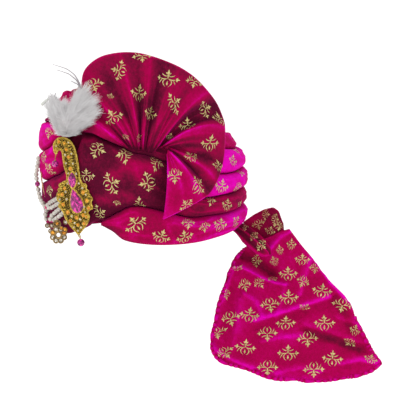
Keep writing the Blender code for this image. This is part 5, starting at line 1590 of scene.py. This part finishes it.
def plume_barbs(edge):
    """Fine barbs, each a strip along a curve through its root, bend and tip."""
    k = np.arange(BARBS)
    place, chance = (k * 0.569840291 + 0.11) % 1, (k * 0.754877666 + 0.37) % 1
    wild = scattered(k, 7.13, 3, 999.7)
    # Barbs cling together in tufts, which share their bend and their painted light and shade.
    tuft = np.floor(place * 64) + 64 * np.floor(chance * 5)
    cling = scattered(tuft, 3.71, 3, 777.7)
    at = place * EDGE_POINTS
    low = at.astype(int)
    part = (at - low)[:, None]
    rim = edge[low] * (1 - part) + edge[(low + 1) % EDGE_POINTS] * part
    reach = (0.35 + 0.72 * chance**0.6)[:, None]
    height = np.clip((140 - rim[:, 1]) / 52, 0, 1) * (0.35 + 0.5 * (wild[:, 0] + 0.5))
    root = read_off(height, (0, 0.5, 1), np.array(PLUME_SHAFT))
    root[:, 0] += 8.0 * wild[:, 1] * (1 - height)
    tip = root + (rim - root) * reach * (1 + 0.10 * wild[:, :1])
    bend = (root + tip) / 2 + np.array([0.0, -2.2]) * (0.4 + chance)[:, None]
    # Two in five spring from part of the way out and curl off to a side, as fluff.
    fluff = ((k * 0.381966) % 1 < 0.4)[:, None]
    root = np.where(fluff, root + (tip - root) * (0.35 + 0.45 * (wild[:, 1:2] + 0.5)), root)
    bend = np.where(fluff, (root + tip) / 2, bend)
    bend = bend + 1.6 * wild[:, 1:] + 3.0 * cling[:, 1:]
    tip = tip + (2.4 * wild[:, :2] + 4.5 * cling[:, :2]) * (0.4 + reach)
    tip = tip + np.where(fluff, 6.0 * wild[:, 1:], 0.0)
    # None hangs over the hook below.
    tip[:, 1] = np.minimum(tip[:, 1], PLUME_FOOT + wild[:, 0])
    bend[:, 1] = np.minimum(bend[:, 1], PLUME_FOOT + wild[:, 1])
    front = np.where(k % 4 == 0, -1.0, 1.0)
    thick = PLUME_THICKNESS * np.sqrt(np.clip(1 - (reach[:, 0] - 0.35)**1.2, 0, 1))
    rises = [0.2 * thick * front, (0.9 * thick + 0.003 * wild[:, 2]) * front,
             (1.0 * thick * (1.45 - reach[:, 0]) + 0.003 * wild[:, 0]
              + 0.009 * cling[:, 0]) * front]
    t = np.linspace(0, 1, BARB_JOINTS)[None, :, None]
    weights = ((1 - t) ** 2, 2 * t * (1 - t), t**2)
    line = sum(point[:, None] * w for point, w in zip((root, bend, tip), weights))
    rise = sum(point[:, None] * w[..., 0] for point, w in zip(rises, weights))
    line = in_plume(line, rise)
    side = unit(np.cross(np.gradient(line, axis=1), OUT + 0.3 * wild[:, None]))
    half = 0.00030 * (1 - 0.85 * t)
    points = np.stack([line - side * half, line + side * half], axis=2)
    faces = (grid_faces(BARB_JOINTS, 2)[None]
             + (k * BARB_JOINTS * 2)[:, None, None]).reshape(-1, 4)
    # Painted shade greys each barb towards its root.
    shade = (0.48 + 0.52 * t**0.6 * np.ones((BARBS, 1, 2))) * (
        0.92 + 0.22 * cling[:, 1])[:, None, None]
    assemble("plume_barbs", [(points.reshape(-1, 3), faces)], "marabou", merge=False,
             nap=shade)


def plume_wisps():
    """Long barbs, each a fine thread with a feathery edge."""
    wisps = []
    along_it = np.linspace(0, 1, WISP_POINTS)
    s = np.linspace(0.05, 0.97, WISP_BARBS)
    turned = np.where(np.arange(WISP_BARBS) % 2, 1, -1)[:, None]
    for table in WISPS:
        across, up = pictured(*edge_points(table, WISP_POINTS).T)
        path = seen(across, up, PLUME_OUT + 0.002 * np.sin(5 * along_it))
        wisps.append(tube(path, 0.00085 * (1 - 0.7 * along_it), 5))
        start = read_off(s, along_it, path)
        way = unit(read_off(s, along_it, np.gradient(path, axis=0)))
        end = start + (0.0022 * (1 - 0.6 * s))[:, None] * (np.cross(way, OUT) * turned
                                                           + 1.3 * way)
        thin = 0.00014 * np.cross(end - start, OUT) / 0.003
        strip = np.stack([start - thin, start + thin, end + thin * 0.3, end - thin * 0.3], 1)
        wisps.append((strip.reshape(-1, 3), np.arange(WISP_BARBS * 4).reshape(-1, 4)))
    total = sum(len(points) for points, _ in wisps)
    # Painted shade keeps the thin wisps grey.
    assemble("plume_wisps", wisps, "marabou", merge=False, nap=np.full(total, 0.05))


def plume():
    """Down: a soft core, thousands of fine barbs that curve out of it, and the quill."""
    edge = edge_points(PLUME_EDGE + PLUME_EDGE[:1], EDGE_POINTS + 1)[:-1]
    plume_core(edge)
    plume_barbs(edge)
    plume_wisps()
    across, up = pictured(*np.linspace(*QUILL, 10).T)
    shaft = tube(seen(across, up, PLUME_OUT), np.linspace(0.0015, 0.0019, 10), 14)
    assemble("quill_shaft", [shaft], "horn", ["quill"], smooth=False)


def white_paint(tree):
    """Matt white paint, faintly mottled, that glows a little so that it stays white."""
    return {"Base Color": ramp(tree, noise(tree, 40.0), ((0.3, "#FAFAFA"), (0.7, "#FFFFFF"))),
            "Roughness": 0.9, "Emission Color": (1, 1, 1, 1), "Emission Strength": 0.3}


# Soft lights: across, up and out, size, all in metres, and power in watts.
SOFTBOXES = ((-1.1, 1.5, 1.4, 1.0, 15), (1.6, 0.7, 1.2, 1.2, 3), (0.2, 2.2, -1.4, 1.4, 5))


def light_the_stage():
    """A white floor and surround, with soft lights above, left and right."""
    scene = bpy.context.scene
    world = bpy.data.worlds.new("studio")
    world.use_nodes = True
    surround = world.node_tree.nodes["Background"]
    surround.inputs["Color"].default_value = (1, 1, 1, 1)
    surround.inputs["Strength"].default_value = 0.85
    scene.world = world
    scene.view_settings.view_transform = "Standard"
    mesh = bpy.data.meshes.new("floor")
    mesh.from_pydata([(x, y, FLOOR_HEIGHT) for x, y in ((-30, -30), (30, -30), (30, 30),
                                                        (-30, 30))], [], [(0, 1, 2, 3)])
    floor = bpy.data.objects.new("floor", mesh)
    scene.collection.objects.link(floor)
    floor.data.materials.append(finish_named("matt_white_paint", white_paint))
    for across, up, out, size, power in SOFTBOXES:
        data = bpy.data.lights.new("softbox", "AREA")
        data.shape = "DISK"
        data.size = size
        data.energy = power
        lamp = bpy.data.objects.new("softbox", data)
        place = Vector(seen(across, up, out))
        turn = (-place).to_track_quat("-Z", "Y").to_matrix().to_4x4()
        lamp.matrix_world = Matrix.Translation(place) @ turn
        scene.collection.objects.link(lamp)


def print_and_declare(skirt_hem):
    """Prints the cloth and gathers each sheet's trim: its print and, on the skirt, the hem."""
    trim = {name: [made] for name, made in print_cloth().items()}
    trim["tail_skirt"].append(skirt_hem)


crown_base()
wound_turns()
crown_cover()
side_fan()
tail_skirt()
tail_ear()
tail_neck()
print_and_declare(hem(PRINTED["tail_skirt"][1]))
brooch()
hanging_beads()
pearls()
spacer_and_ring()
plume()
light_the_stage()
